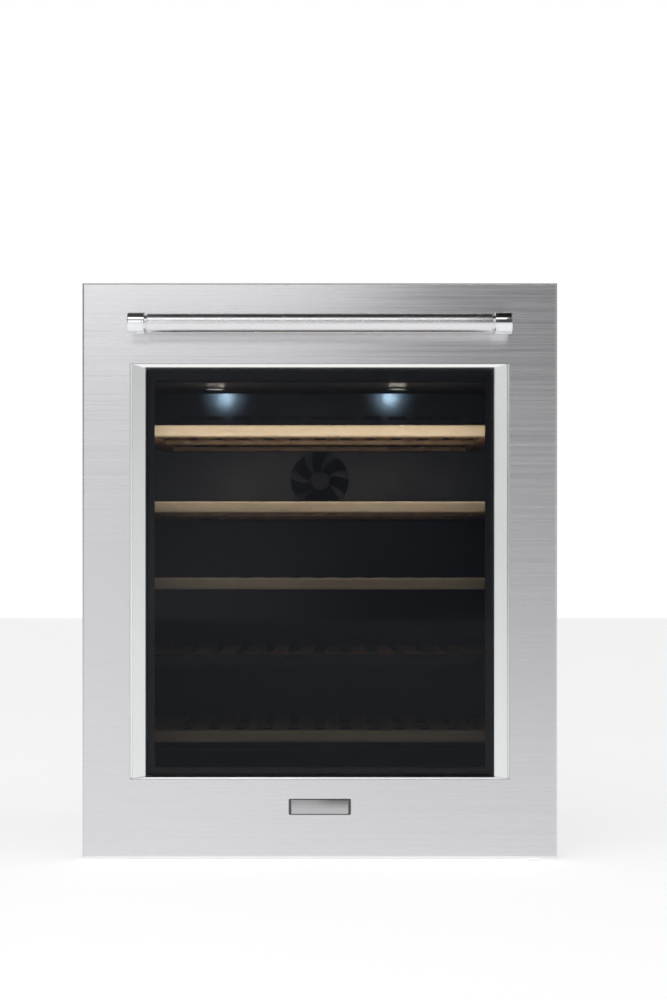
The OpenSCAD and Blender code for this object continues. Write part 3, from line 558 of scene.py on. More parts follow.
LENS = LampLens("lamp_lens", (0.62, 0.84, 1.0), 0.35, 0.12)
DISPLAY = Finish("display_glass", (0.008, 0.008, 0.01), 0.08)
BUTTON = Plastic("button_plastic", (0.3, 0.3, 0.31), 0.35, 2500.0)
BUSH_PLASTIC = Plastic("bush_plastic", (0.72, 0.7, 0.64), 0.4)
PIN_METAL = PolishedMetal("socket_pins", (0.62, 0.5, 0.28), 0.2)


# ---------- making pieces ----------


def new_object(name: str, mesh: bpy.types.Mesh) -> bpy.types.Object:
    """Links a new object at the origin."""
    made = bpy.data.objects.new(name, mesh)
    bpy.context.scene.collection.objects.link(made)
    return made


def mesh_from(name: str, bm: bmesh.types.BMesh, outward: bool = True) -> bpy.types.Mesh:
    """Turns a bmesh into a plain mesh.

    Args:
        name: The mesh's name.
        bm: The source, freed here.
        outward: Turns closed shells so that their faces point out.

    Returns:
        The new mesh.
    """
    if outward:
        bmesh.ops.recalc_face_normals(bm, faces=bm.faces)
    mesh = bpy.data.meshes.new(name)
    bm.to_mesh(mesh)
    bm.free()
    return mesh


def piece_from(name: str, bm: bmesh.types.BMesh) -> bpy.types.Object:
    """Makes a new object of a bmesh, with its faces turned outwards."""
    return new_object(name, mesh_from(name, bm))


def shade(mesh: bpy.types.Mesh, angle: float) -> None:
    """Shades a mesh smooth, with creases above an angle in degrees."""
    mesh.polygons.foreach_set("use_smooth", [True] * len(mesh.polygons))
    mesh.set_sharp_from_angle(angle=math.radians(angle))


def fit(made: bpy.types.Object, finish: Finish, body: str,
        stands_for: Sequence[str] = (), crease: Optional[float] = 32.0) -> bpy.types.Object:
    """Dresses a finished piece, and sets it on its body.

    Args:
        made: The piece, at the origin.
        finish: Its finish.
        body: The CAD body that it rides on.
        stands_for: CAD nodes that it replaces.
        crease: The angle above which an edge stays sharp, or None for flat faces; it isn't
            used on a piece whose normals are set already.

    Returns:
        The same piece.
    """
    made.data.materials.clear()
    made.data.materials.append(material_of(finish))
    made.data.polygons.foreach_set("material_index", [0] * len(made.data.polygons))
    if crease is not None and not made.data.has_custom_normals:
        shade(made.data, crease)
    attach(made, body)
    if stands_for:
        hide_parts(*stands_for)
    LOG.info("%s: %d faces on %s", made.name, len(made.data.polygons), body)
    return made


def dress(node: str, finish: Finish) -> None:
    """Gives a CAD node its finish, and leaves its shape alone."""
    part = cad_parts[node]
    part.data.materials.clear()
    part.data.materials.append(material_of(finish))
    part.data.polygons.foreach_set("material_index", [0] * len(part.data.polygons))
    LOG.info("%s: dressed in %s", node, finish.name)


def settled(host: bpy.types.Object) -> bpy.types.Object:
    """Turns a host with live modifiers into a plain mesh, and removes them."""
    bpy.context.view_layer.update()
    graph = bpy.context.evaluated_depsgraph_get()
    mesh = bpy.data.meshes.new_from_object(host.evaluated_get(graph))
    host.modifiers.clear()
    host.data = mesh
    return host


def add_bevel(host: bpy.types.Object, width: float, segments: int = 2,
              angle: float = 30.0) -> bpy.types.BevelModifier:
    """Adds a bevel to the sharp edges of a host.

    Args:
        host: The object.
        width: Width of the bevel.
        segments: Number of steps.
        angle: Edges under this angle stay.

    Returns:
        The modifier, still live.
    """
    bevel = host.modifiers.new("soft_edges", "BEVEL")
    bevel.width = width
    bevel.segments = segments
    bevel.limit_method = "ANGLE"
    bevel.angle_limit = math.radians(angle)
    bevel.use_clamp_overlap = True
    return bevel


def softened(node: str, name: str, width: float, segments: int = 2,
             angle: float = 30.0) -> bpy.types.Object:
    """Copies a CAD node with its sharp edges softened, and its flat faces shaded flat.

    Args:
        node: The CAD node.
        name: The new piece's name.
        width: Width of the soft edge.
        segments: Steps in the soft edge.
        angle: Edges under this angle stay.

    Returns:
        The new object, not yet dressed.
    """
    bm = bmesh.new()
    bm.from_mesh(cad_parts[node].data)
    bmesh.ops.remove_doubles(bm, verts=bm.verts, dist=WELD)
    bmesh.ops.dissolve_limit(bm, angle_limit=math.radians(FLAT_ANGLE), verts=bm.verts, edges=bm.edges)
    made = new_object(name, mesh_from(name, bm, outward=False))
    shade(made.data, angle)
    add_bevel(made, width, segments, angle).harden_normals = True
    return settled(made)


def add_block(bm: bmesh.types.BMesh, low: Sequence[float], high: Sequence[float],
              edge: float = 0.0, steps: int = 2) -> None:
    """Adds a block with round edges.

    Args:
        bm: The mesh to add to.
        low: Lowest corner.
        high: Highest corner.
        edge: Radius of its edges.
        steps: Steps in each round edge.
    """
    size = Vector(high) - Vector(low)
    centre = (Vector(high) + Vector(low)) / 2
    place = Matrix.Translation(centre) @ Matrix.Diagonal((*size, 1.0))
    made = bmesh.ops.create_cube(bm, size=1.0, matrix=place)
    if edge > 0:
        edges = list({e for v in made["verts"] for e in v.link_edges})
        bmesh.ops.bevel(bm, geom=edges, offset=edge, segments=steps, profile=0.5, affect="EDGES")


def add_turned(bm: bmesh.types.BMesh, profile: Sequence[tuple[float, float]], origin: Sequence[float],
               axis: Along, steps: int = 48) -> None:
    """Adds a turned solid.

    Args:
        bm: The mesh to add to.
        profile: Pairs of radius and distance along the axis; a zero radius closes an end.
        origin: Where the axis starts.
        axis: The axis that it is turned on.
        steps: Facets round the axis.
    """
    turn = {Along.X: Matrix(((0, 0, 1), (1, 0, 0), (0, 1, 0))),
            Along.Y: Matrix(((0, 1, 0), (0, 0, 1), (1, 0, 0))),
            Along.Z: Matrix.Identity(3)}[axis]
    start = Vector(origin)
    rings: list[list[bmesh.types.BMVert]] = []
    for radius, along in profile:
        if radius <= 0:
            rings.append([bm.verts.new(start + turn @ Vector((0, 0, along)))])
            continue
        ring = []
        for i in range(steps):
            a = 2 * math.pi * i / steps
            point = Vector((radius * math.cos(a), radius * math.sin(a), along))
            ring.append(bm.verts.new(start + turn @ point))
        rings.append(ring)
    for near, far in zip(rings, rings[1:]):
        for i in range(steps):
            j = (i + 1) % steps
            if len(near) == 1:
                bm.faces.new((near[0], far[i], far[j]))
            elif len(far) == 1:
                bm.faces.new((near[i], far[0], near[j]))
            else:
                bm.faces.new((near[i], far[i], far[j], near[j]))


def rounded_outline(width: float, height: float, radius: float, steps: int = 6) -> list[tuple[float, float]]:
    """Gives the points of a rectangle with round corners, anticlockwise round its centre."""
    points = []
    for quarter in range(4):
        sx, sz = ((1, 1), (-1, 1), (-1, -1), (1, -1))[quarter]
        for i in range(steps + 1):
            a = math.pi / 2 * (quarter + i / steps)
            points.append((sx * (width / 2 - radius) + radius * math.cos(a),
                           sz * (height / 2 - radius) + radius * math.sin(a)))
    return points


def add_loft(bm: bmesh.types.BMesh, loops: Sequence[Sequence[Sequence[float]]], closed: bool) -> None:
    """Adds a skin over loops of the same number of points.

    Args:
        bm: The mesh to add to.
        loops: Loops of points in order.
        closed: Joins the last loop to the first; otherwise both ends are capped.
    """
    rings = [[bm.verts.new(p) for p in loop] for loop in loops]
    pairs = list(zip(rings, rings[1:])) + ([(rings[-1], rings[0])] if closed else [])
    count = len(rings[0])
    for near, far in pairs:
        for i in range(count):
            j = (i + 1) % count
            bm.faces.new((near[i], near[j], far[j], far[i]))
    if not closed:
        bm.faces.new(rings[0])
        bm.faces.new(rings[-1])


# ---------- geometry node recipes ----------


class Recipe:
    """A Geometry Nodes tree with named inputs, for pieces that repeat or follow a path."""

    label = "recipe"
    inputs: tuple[tuple[str, str], ...] = ()

    def __init__(self) -> None:
        """Builds the tree."""
        self.tree = bpy.data.node_groups.new(self.label, "GeometryNodeTree")
        face = self.tree.interface
        face.new_socket(name="Geometry", in_out="INPUT", socket_type="NodeSocketGeometry")
        self.keys = {}
        for name, kind in (*self.inputs, ("Finish", "NodeSocketMaterial")):
            self.keys[name] = face.new_socket(name=name, in_out="INPUT", socket_type=kind).identifier
        face.new_socket(name="Geometry", in_out="OUTPUT", socket_type="NodeSocketGeometry")
        self.entry = self.add("NodeGroupInput")
        leave = self.add("NodeGroupOutput")
        realize = self.add("GeometryNodeRealizeInstances")
        coat = self.add("GeometryNodeSetMaterial")
        self.join(self.build(), realize.inputs[0])
        self.join(realize.outputs[0], coat.inputs[0])
        self.join(self.entry.outputs["Finish"], coat.inputs["Material"])
        self.join(coat.outputs[0], leave.inputs[0])

    def add(self, kind: str, **settings: Any) -> bpy.types.Node:
        """Adds a node and sets its properties."""
        node = self.tree.nodes.new(kind)
        for key, value in settings.items():
            setattr(node, key, value)
        return node

    def join(self, source: bpy.types.NodeSocket, target: bpy.types.NodeSocket) -> None:
        """Links two sockets."""
        self.tree.links.new(source, target)

    def build(self) -> bpy.types.NodeSocket:
        """Builds the recipe's own nodes.

        Returns:
            The geometry before instances are realized.
        """
        raise NotImplementedError

    def run(self, name: str, finish: Finish, host: Optional[bpy.types.Mesh] = None,
            bevel: float = 0.0, **values: Any) -> bpy.types.Object:
        """Runs the recipe on a host and gives a plain object.

        Args:
            name: The piece's name.
            finish: The finish of all its faces.
            host: The mesh that it starts from.
            bevel: Width of soft edges put on afterwards.
            values: The recipe's inputs, with _ for a space.

        Returns:
            The object, with a plain mesh.
        """
        made = new_object(name, host or bpy.data.meshes.new(name))
        modifier = made.modifiers.new(self.label, "NODES")
        modifier.node_group = self.tree
        modifier[self.keys["Finish"]] = material_of(finish)
        for key, value in values.items():
            modifier[self.keys[key.replace("_", " ")]] = value
        if bevel > 0:
            add_bevel(made, bevel)
        return settled(made)


class BlockRow(Recipe):
    """A row of equal blocks, such as slats, fins and grille bars."""

    label = "block_row"
    inputs = (("Count", "NodeSocketInt"), ("First", "NodeSocketVector"), ("Step", "NodeSocketVector"),
              ("Size", "NodeSocketVector"))

    def build(self) -> bpy.types.NodeSocket:
        """Sets a block on each point of a line."""
        line = self.add("GeometryNodeMeshLine", mode="OFFSET")
        block = self.add("GeometryNodeMeshCube")
        copies = self.add("GeometryNodeInstanceOnPoints")
        self.join(self.entry.outputs["Count"], line.inputs["Count"])
        self.join(self.entry.outputs["First"], line.inputs["Start Location"])
        self.join(self.entry.outputs["Step"], line.inputs["Offset"])
        self.join(self.entry.outputs["Size"], block.inputs["Size"])
        self.join(line.outputs[0], copies.inputs["Points"])
        self.join(block.outputs[0], copies.inputs["Instance"])
        return copies.outputs[0]


class CopiesOnPoints(Recipe):
    """Copies of one shape on a host's points, turned as each point says."""

    label = "copies_on_points"
    inputs = (("Shape", "NodeSocketObject"),)

    def build(self) -> bpy.types.NodeSocket:
        """Sets the shape on every point with its own turn."""
        shape = self.add("GeometryNodeObjectInfo")
        turn = self.add("GeometryNodeInputNamedAttribute", data_type="FLOAT_VECTOR")
        turn.inputs[0].default_value = "turn"
        copies = self.add("GeometryNodeInstanceOnPoints")
        self.join(self.entry.outputs["Shape"], shape.inputs["Object"])
        self.join(self.entry.outputs["Geometry"], copies.inputs["Points"])
        self.join(shape.outputs["Geometry"], copies.inputs["Instance"])
        self.join(turn.outputs[0], copies.inputs["Rotation"])
        return copies.outputs[0]

    def spread(self, name: str, finish: Finish, shape: bmesh.types.BMesh,
               places: Iterable[tuple[Sequence[float], Triple]]) -> bpy.types.Object:
        """Spreads a shape over places.

        Args:
            name: The piece's name.
            finish: Its finish.
            shape: The shape, round its own origin.
            places: Pairs of a point and three turning angles.

        Returns:
            One object with all copies.
        """
        places = list(places)
        host = bpy.data.meshes.new(name)
        host.from_pydata([tuple(p) for p, _ in places], [], [])
        turn = host.attributes.new("turn", "FLOAT_VECTOR", "POINT")
        turn.data.foreach_set("vector", [a for _, t in places for a in t])
        pattern = piece_from(f"{name}_shape", shape)
        made = self.run(name, finish, host, Shape=pattern)
        bpy.data.objects.remove(pattern)
        return made


class TubeOnPath(Recipe):
    """A round tube along a path, with a bend at each corner."""

    label = "tube_on_path"
    inputs = (("Radius", "NodeSocketFloat"), ("Bend", "NodeSocketFloat"), ("Facets", "NodeSocketInt"))

    def build(self) -> bpy.types.NodeSocket:
        """Rounds the path's corners and sweeps a circle along it."""
        path = self.add("GeometryNodeMeshToCurve")
        bends = self.add("GeometryNodeFilletCurve", mode="POLY")
        ring = self.add("GeometryNodeCurvePrimitiveCircle")
        sweep = self.add("GeometryNodeCurveToMesh")
        bends.inputs["Count"].default_value = 7
        bends.inputs["Limit Radius"].default_value = True
        sweep.inputs["Fill Caps"].default_value = True
        self.join(self.entry.outputs["Geometry"], path.inputs[0])
        self.join(path.outputs[0], bends.inputs["Curve"])
        self.join(self.entry.outputs["Bend"], bends.inputs["Radius"])
        self.join(self.entry.outputs["Radius"], ring.inputs["Radius"])
        self.join(self.entry.outputs["Facets"], ring.inputs["Resolution"])
        self.join(bends.outputs[0], sweep.inputs["Curve"])
        self.join(ring.outputs[0], sweep.inputs["Profile Curve"])
        return sweep.outputs[0]

    def along(self, name: str, finish: Finish, paths: Sequence[Sequence[Sequence[float]]],
              radius: float, bend: float, facets: int = 14) -> bpy.types.Object:
        """Makes tubes along paths.

        Args:
            name: The piece's name.
            finish: Its finish.
            paths: Corner points of each tube's centre line.
            radius: Outer radius of the tube.
            bend: Radius of each bend.
            facets: Facets round the tube.

        Returns:
            One object with all tubes.
        """
        points, links = [], []
        for path in paths:
            links += [(len(points) + i, len(points) + i + 1) for i in range(len(path) - 1)]
            points += [tuple(p) for p in path]
        host = bpy.data.meshes.new(name)
        host.from_pydata(points, links, [])
        made = self.run(name, finish, host, Radius=radius, Bend=bend, Facets=facets)
        bm = bmesh.new()
        bm.from_mesh(made.data)
        bmesh.ops.remove_doubles(bm, verts=bm.verts, dist=WELD)
        made.data = mesh_from(name, bm)
        return made


BLOCKS = BlockRow()
COPIES = CopiesOnPoints()
TUBES = TubeOnPath()


# ---------- the door ----------


@dataclass
class Handle:
    """The bar handle: a knurled grip between two polished caps on posts."""

    neck: float = 10 * MM
    grip_rim: float = 0.8 * MM
    grip_facets: int = 96
    grip_lengths: int = 12
    cap_length: float = 21 * MM
    cap_rim: float = 1.3 * MM
    groove: float = 0.35 * MM
    socket: float = 9.6 * MM
    socket_depth: float = 5 * MM

    def build(self) -> None:
        """Makes the grip, the caps and the posts."""
        self.low, self.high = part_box("handle_ends")
        bar_low, bar_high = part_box("handle_bar")
        self.y = (self.low.y + self.high.y) / 2
        self.z = (self.low.z + self.high.z) / 2
        self.grip(bar_low, bar_high)
        self.caps()
        fit(softened("handle_posts", "handle_post_pair", 0.4 * MM), POST_STEEL, DOOR,
            ["handle_posts"])

    def grip(self, low: Vector, high: Vector) -> None:
        """Makes the grip with a map in metres for its knurl.

        Args:
            low: Lowest corner of the CAD bar.
            high: Highest corner of the CAD bar.
        """
        radius = (high.z - low.z) / 2
        neck, rim = self.neck, self.grip_rim
        half = (high.x - low.x) / 2 - neck
        ring = [(0, -half - neck), (neck, -half - neck), (neck, -half), (radius - rim, -half)]
        ring += [(radius - rim + rim * math.sin(a), -half + rim - rim * math.cos(a))
                 for a in (math.pi / 8 * i for i in range(1, 5))]
        middle = [(radius, -half + 2 * half * i / self.grip_lengths) for i in range(1, self.grip_lengths)]
        profile = ring + middle + [(r, -x) for r, x in reversed(ring)]
        bm = bmesh.new()
        add_turned(bm, profile, (0, self.y, self.z), Along.X, self.grip_facets)
        mesh = mesh_from("handle_grip", bm)
        layer = mesh.uv_layers.new(name="metres")
        around = 2 * math.pi * radius
        for face in mesh.polygons:
            turns = []
            for loop in face.loop_indices:
                point = mesh.vertices[mesh.loops[loop].vertex_index].co
                turns.append(math.atan2(point.z - self.z, point.y - self.y) / (2 * math.pi) % 1.0)
            wrap = max(turns) - min(turns) > 0.5
            for loop, turn in zip(face.loop_indices, turns):
                point = mesh.vertices[mesh.loops[loop].vertex_index].co
                layer.data[loop].uv = (point.x, around * (turn + (1 if wrap and turn < 0.5 else 0)))
        fit(new_object("handle_grip", mesh), GRIP_STEEL, DOOR, ["handle_bar"])

    def caps(self) -> None:
        """Makes both polished caps, each with a soft rim and a fine turned groove."""
        radius = (self.high.z - self.low.z) / 2
        length, rim, groove = self.cap_length, self.cap_rim, self.groove
        arc = [(radius - rim + rim * math.sin(a), rim - rim * math.cos(a))
               for a in (math.pi / 10 * i for i in range(6))]
        crown = [(0, 0.25 * MM), (radius - 4 * MM, 0), *arc]
        step = [(radius, length - 3.4 * MM), (radius - groove, length - 3.1 * MM),
                (radius - groove, length - 2.7 * MM), (radius, length - 2.4 * MM)]
        inner = [(radius, length - 0.6 * MM), (radius - 0.6 * MM, length), (self.socket, length),
                 (self.socket, length - self.socket_depth), (0, length - self.socket_depth)]
        cap = crown + step + inner
        mirrored = [(r, -along) for r, along in cap]
        bm = bmesh.new()
        add_turned(bm, cap, (self.low.x, self.y, self.z), Along.X, 72)
        add_turned(bm, mirrored, (self.high.x, self.y, self.z), Along.X, 72)
        fit(piece_from("handle_caps", bm), CAP_CHROME, DOOR,
            ["handle_ends"], crease=40.0)


@dataclass
class Door:
    """The door: steel tray, window trims, panes with their frit, core, gasket and plate."""

    lap: float = 4 * MM
    frit_side: float = 10 * MM
    frit_top: float = 13.5 * MM
    frit_bottom: float = 10 * MM
    lip_width: float = 14 * MM
    plate_side: float = 1.1 * MM
    plate_end: float = 3.2 * MM
    plate_crown: float = 0.4 * MM
    face_gap: float = 0.1 * MM

    def build(self) -> None:
        """Makes and dresses the whole door."""
        self.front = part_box("door_panel")[0].y
        dress("door_panel", DOOR_STEEL)
        dress("glass_outer", OUTER_GLASS)
        dress("glass_inner", INNER_GLASS)
        dress("hinge_bushes", BUSH_PLASTIC)
        fit(softened("window_trims", "window_trim_set", 0.35 * MM, 2, 20.0), TRIM_METAL, DOOR,
            ["window_trims"])
        fit(softened("door_core", "door_core_frame", 0.8 * MM), CORE_PLASTIC, DOOR,
            ["door_core"])
        self.frit()
        self.spacer()
        self.gasket()
        self.plate()
        Handle().build()

    def frit(self) -> None:
        """Prints the black border just inside the rear face of the outer pane."""
        low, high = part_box("glass_outer")
        mid_z = (low.z + high.z) / 2
        back, front = high.y - 0.1 * MM, high.y - 0.4 * MM
        outer = rounded_outline(high.x - low.x - 1 * MM, high.z - low.z - 1 * MM, 5 * MM)
        clear_low = low.z + self.lap + self.frit_bottom
        clear_high = high.z - self.lap - self.frit_top
        clear_w = high.x - low.x - 2 * (self.lap + self.frit_side)
        inner = rounded_outline(clear_w, clear_high - clear_low, 2 * MM)
        shift = (clear_high + clear_low) / 2 - mid_z
        loops = [[(x, y, mid_z + z) for x, z in outer] for y in (front, back)]
        loops += [[(x, y, mid_z + shift + z) for x, z in inner] for y in (back, front)]
        bm = bmesh.new()
        add_loft(bm, loops, True)
        fit(piece_from("glass_frit", bm), FRIT, DOOR)

    def spacer(self) -> None:
        """Makes the spacer bar that holds the two panes apart."""
        made = softened("glazing_spacer", "glazing_spacer_bar", 0.4 * MM)
        fit(made, SPACER_METAL, DOOR, ["glazing_spacer"])

    def gasket(self) -> None:
        """Sweeps the gasket's bellows section round the door."""
        low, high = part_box("door_gasket")
        depth = high.y - low.y
        wide = self.lip_width
        # outline as distance in from the outer edge, and share of the depth from the core
        half = [(0.42, 0.0), (0.38, 0.18), (0.36, 0.3), (0.02, 0.34), (0.0, 0.42), (0.05, 0.5), (0.26, 0.55),
                (0.16, 0.63), (0.28, 0.71), (0.05, 0.78), (0.0, 0.84), (0.0, 0.95), (0.04, 1.0)]
        section = half + [(1 - d, s) for d, s in reversed(half)]
        loops = []
        for inset, share in section:
            x0, x1 = low.x + inset * wide, high.x - inset * wide
            z0, z1 = low.z + inset * wide, high.z - inset * wide
            y = low.y + share * depth
            loops.append([(x0, y, z0), (x1, y, z0), (x1, y, z1), (x0, y, z1)])
        bm = bmesh.new()
        add_loft(bm, loops, True)
        fit(piece_from("gasket_bellows", bm), GASKET_RUBBER, DOOR,
            ["door_gasket"], crease=20.0)

    def plate(self) -> None:
        """Makes the blank plate: a satin face in a thin dark rim with thicker ends."""
        low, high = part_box("blank_plate")
        z = (low.z + high.z) / 2
        width, height = high.x - low.x, high.z - low.z
        thick = high.y - low.y
        side, end, slope = self.plate_side, self.plate_end, self.plate_crown
        outer = rounded_outline(width, height, 1.6 * MM)
        crown = rounded_outline(width - 2 * slope, height - 2 * slope, 1.4 * MM)
        inner = rounded_outline(width - 2 * end, height - 2 * side, 0.6 * MM)
        loops = [[(x, high.y, z + h) for x, h in outer], [(x, low.y + 0.3 * MM, z + h) for x, h in outer],
                 [(x, low.y, z + h) for x, h in crown], [(x, low.y, z + h) for x, h in inner],
                 [(x, high.y, z + h) for x, h in inner]]
        rim = bmesh.new()
        add_loft(rim, loops, True)
        fit(piece_from("plate_rim", rim), PLATE_EDGE, DOOR, ["blank_plate"])
        face = bmesh.new()
        half_w, half_h = width / 2 - end - self.face_gap, height / 2 - side - self.face_gap
        add_block(face, (-half_w, low.y + 0.25 * thick, z - half_h), (half_w, high.y, z + half_h), 0.25 * MM)
        fit(piece_from("plate_face", face), PLATE_STEEL, DOOR)


# ---------- the cabinet ----------


def cross_screw(head: float, rise: float, cross: float, bar: float) -> bmesh.types.BMesh:
    """Makes a pan head round the origin that faces +Z, with a cross recess.

    Args:
        head: Radius of the head.
        rise: Height of the head.
        cross: Half the length of the recess.
        bar: Half the width of its arms.

    Returns:
        The head's mesh.
    """
    bm = bmesh.new()
    steps = 24
    angles = [2 * math.pi * i / steps for i in range(steps)]
    rings = []
    for width, height in ((1, 0.0), (1, 0.35), (0.93, 0.68), (0.74, 0.93), (0.6, 1)):
        radius = width * head
        rings.append([bm.verts.new((radius * math.cos(a), radius * math.sin(a), height * rise))
                      for a in angles])
    for near, far in zip(rings, rings[1:]):
        for i in range(steps):
            bm.faces.new((near[i], near[(i + 1) % steps], far[(i + 1) % steps], far[i]))
    outline = []
    for quarter in range(4):
        turn = Matrix.Rotation(quarter * math.pi / 2, 2)
        outline += [turn @ Vector(p) for p in ((cross, -bar), (cross, bar), (bar, bar))]
    corners = len(outline)
    top = [bm.verts.new((p.x, p.y, rise)) for p in outline]
    floor = [bm.verts.new((p.x * 0.55, p.y * 0.55, 0.35 * rise)) for p in outline]
    rim = [bm.edges.new((top[i], top[(i + 1) % corners])) for i in range(corners)]
    crown = [bm.edges.get((rings[-1][i], rings[-1][(i + 1) % steps])) for i in range(steps)]
    bmesh.ops.triangle_fill(bm, edges=rim + crown, use_beauty=True)
    for face in [f for f in bm.faces if len(f.verts) == 3 and all(v in top for v in f.verts)]:
        bm.faces.remove(face)
    for i in range(corners):
        j = (i + 1) % corners
        bm.faces.new((top[i], top[j], floor[j], floor[i]))
    bm.faces.new(floor)
    bm.faces.new(rings[0])
    return bm


@dataclass
class Cabinet:
    """The cabinet: shell, liner, base, rear cover, brackets, feet and screws."""

    grille_bars: int = 6
    foot_radius: float = 18 * MM
    foot_ribs: int = 3
    rib_pitch: float = 2 * MM
    head_radius: float = 4 * MM
    head_rise: float = 2.4 * MM
    screw_row: float = 23 * MM
    louvre_rise: float = 1.9 * MM
    louvre_half: float = 13 * MM
    louvre_pitch: float = 30 * MM
    bead_rise: float = 1.6 * MM
    bead_half: float = 9 * MM
    bead_pitch: float = 170 * MM

    def build(self) -> None:
        """Makes and dresses the cabinet."""
        dress("cabinet_insulation", FOAM_CORE)
        for node, name, width, finish, slot in (
                ("outer_shell", "shell_wrap", 0.5, SHELL_PAINT, "shell_paint"),
                ("inner_liner", "liner_tub", 1.2, LINER_PLASTIC, "liner_plastic"),
                ("base_plate", "base_tray", 0.5, ZINC, "zinc_sheet"),
                ("niche_brackets", "niche_bracket_pair", 0.5, ZINC, "zinc_sheet"),
                ("hinge_bracket_top", "hinge_arm_top", 0.6, ZINC, "zinc_sheet"),
                ("hinge_bracket_bottom", "hinge_arm_bottom", 0.6, ZINC, "zinc_sheet"),
                ("hinge_pins", "hinge_pin_pair", 0.5, SCREW_STEEL, "bright_steel"),
                ("fixed_rails", "rail_set", 0.25, BRIGHT_STEEL, "bright_steel"),
                ("rear_cover", "rear_cover_sheet", 0.2, ZINC, "zinc_sheet"),
                ("back_panel", "back_sheet", 0.2, ZINC, "zinc_sheet")):
            fit(softened(node, name, width * MM), finish, CABINET, [node])
        self.inlet()
        self.grille()
        self.feet()
        self.screws()
        self.louvres()
        self.beads()

    def inlet(self) -> None:
        """Makes the inlet's body, and brass over its three pins."""
        made = softened("power_inlet", "inlet_socket", 0.4 * MM)
        fit(made, BLACK_PLASTIC, CABINET, ["power_inlet"])
        low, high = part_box("power_inlet")
        x, z = (low.x + high.x) / 2, (low.z + high.z) / 2
        y0, y1 = high.y - 22 * MM, high.y - 7.9 * MM
        half_w, half_h = 1.05 * MM, 2.05 * MM
        bm = bmesh.new()
        for dx, dz in ((-7, -2), (0, 3), (7, -2)):
            pin_x, pin_z = x + dx * MM, z + dz * MM
            add_block(bm, (pin_x - half_w, y0, pin_z - half_h), (pin_x + half_w, y1, pin_z + half_h),
                      0.35 * MM)
        fit(piece_from("inlet_pins", bm), PIN_METAL, CABINET)

    def grille(self) -> None:
        """Makes the base grille: a frame with a row of slim bars."""
        low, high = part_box("base_grille")
        bar = (high.z - low.z) / (2 * self.grille_bars - 1)
        made = BLOCKS.run("grille_bars", BLACK_PLASTIC, bevel=0.5 * MM, Count=self.grille_bars,
                          First=(0, (low.y + high.y) / 2, low.z + bar / 2), Step=(0, 0, 2 * bar),
                          Size=(high.x - low.x, high.y - low.y, bar))
        fit(made, BLACK_PLASTIC, CABINET, ["base_grille"])
        bm = bmesh.new()
        post = 8 * MM
        for x0, x1 in ((low.x, low.x + post), (-post / 2, post / 2), (high.x - post, high.x)):
            add_block(bm, (x0, low.y + 0.1 * MM, low.z), (x1, high.y, high.z), 0.5 * MM)
        fit(piece_from("grille_posts", bm), BLACK_PLASTIC, CABINET)

    def feet(self) -> None:
        """Makes four ribbed rubber feet."""
        low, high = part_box("rubber_feet")
        radius, height = self.foot_radius, high.z - low.z
        profile = [(0, 0), (radius - 2 * MM, 0), (radius - 0.8 * MM, 0.4 * MM), (radius - 0.4 * MM, 1.4 * MM)]
        for i in range(self.foot_ribs):
            z = 2.2 * MM + i * self.rib_pitch
            profile += [(radius - 0.2 * MM, z), (radius, z + 0.5 * MM), (radius - 0.2 * MM, z + 1.0 * MM),
                        (radius - 1.1 * MM, z + 1.5 * MM)]
        profile += [(radius - 2 * MM, height), (0, height)]
        shape = bmesh.new()
        add_turned(shape, profile, (0, 0, 0), Along.Z, 40)
        spots = [((sx * (high.x - radius), y, low.z), (0.0, 0.0, 0.0))
                 for sx in (-1, 1) for y in (low.y + radius, high.y - radius)]
        fit(COPIES.spread("ribbed_feet", BLACK_RUBBER, shape, spots), BLACK_RUBBER, CABINET,
            ["rubber_feet"])

    def screws(self) -> None:
        """Sets a pan head on each screw place of the top, the bottom and the rear cover."""
        top_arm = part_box("hinge_bracket_top")[1]
        bottom_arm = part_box("hinge_bracket_bottom")[0]
        niche_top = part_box("niche_brackets")[1].z
        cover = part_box("rear_cover")
        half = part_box("outer_shell")[1].x
        y = top_arm.y - self.screw_row
        up, down, back = (0.0, 0.0, 0.4), (math.pi, 0.0, 0.3), (-math.pi / 2, 0.0, 0.0)
        hinge_x = [half - inset * MM for inset in (52, 18)]
        places = [((x, y, top_arm.z), up) for x in hinge_x]
        places += [((x, y, bottom_arm.z), down) for x in hinge_x]
        places += [((-half + inset * MM, y, niche_top), up) for inset in (30, 70, 230, 270)]
        places += [((side * (half - 14 * MM), cover[1].y, z), back)
                   for side in (-1, 0, 1) for z in (cover[0].z + 12 * MM, cover[1].z - 6 * MM)]
        heads = cross_screw(self.head_radius, self.head_rise, 2.2 * MM, 0.5 * MM)
        fit(COPIES.spread("pan_heads", SCREW_STEEL, heads, places), SCREW_STEEL, CABINET,
            ["cabinet_screws"])

    def louvres(self) -> None:
        """Presses a louvre over each slot of the rear cover."""
        low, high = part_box("rear_cover")
        shape = bmesh.new()
        loops = []
        for i in range(-6, 7):
            t = i / 6
            rise = self.louvre_rise * math.sqrt(max(0.0, 1 - abs(t) ** 3)) + 0.05 * MM
            x = t * self.louvre_half
            inside = rise - 0.5 * MM * min(1.0, rise / MM)
            loops.append([(x, 0, 3.6 * MM), (x, 0.4 * rise, 3.2 * MM), (x, rise, 0.4 * MM),
                          (x, rise, -2.6 * MM), (x, inside, -2.6 * MM), (x, 0, 1.2 * MM)])
        add_loft(shape, loops, False)
        places = [((i * self.louvre_pitch, high.y, low.z + z * MM), (0.0, 0.0, 0.0))
                  for i in range(-7, 8) for z in (28.5, 44.5, 88.5, 104.5)]
        fit(COPIES.spread("rear_louvres", ZINC, shape, places), ZINC, CABINET)

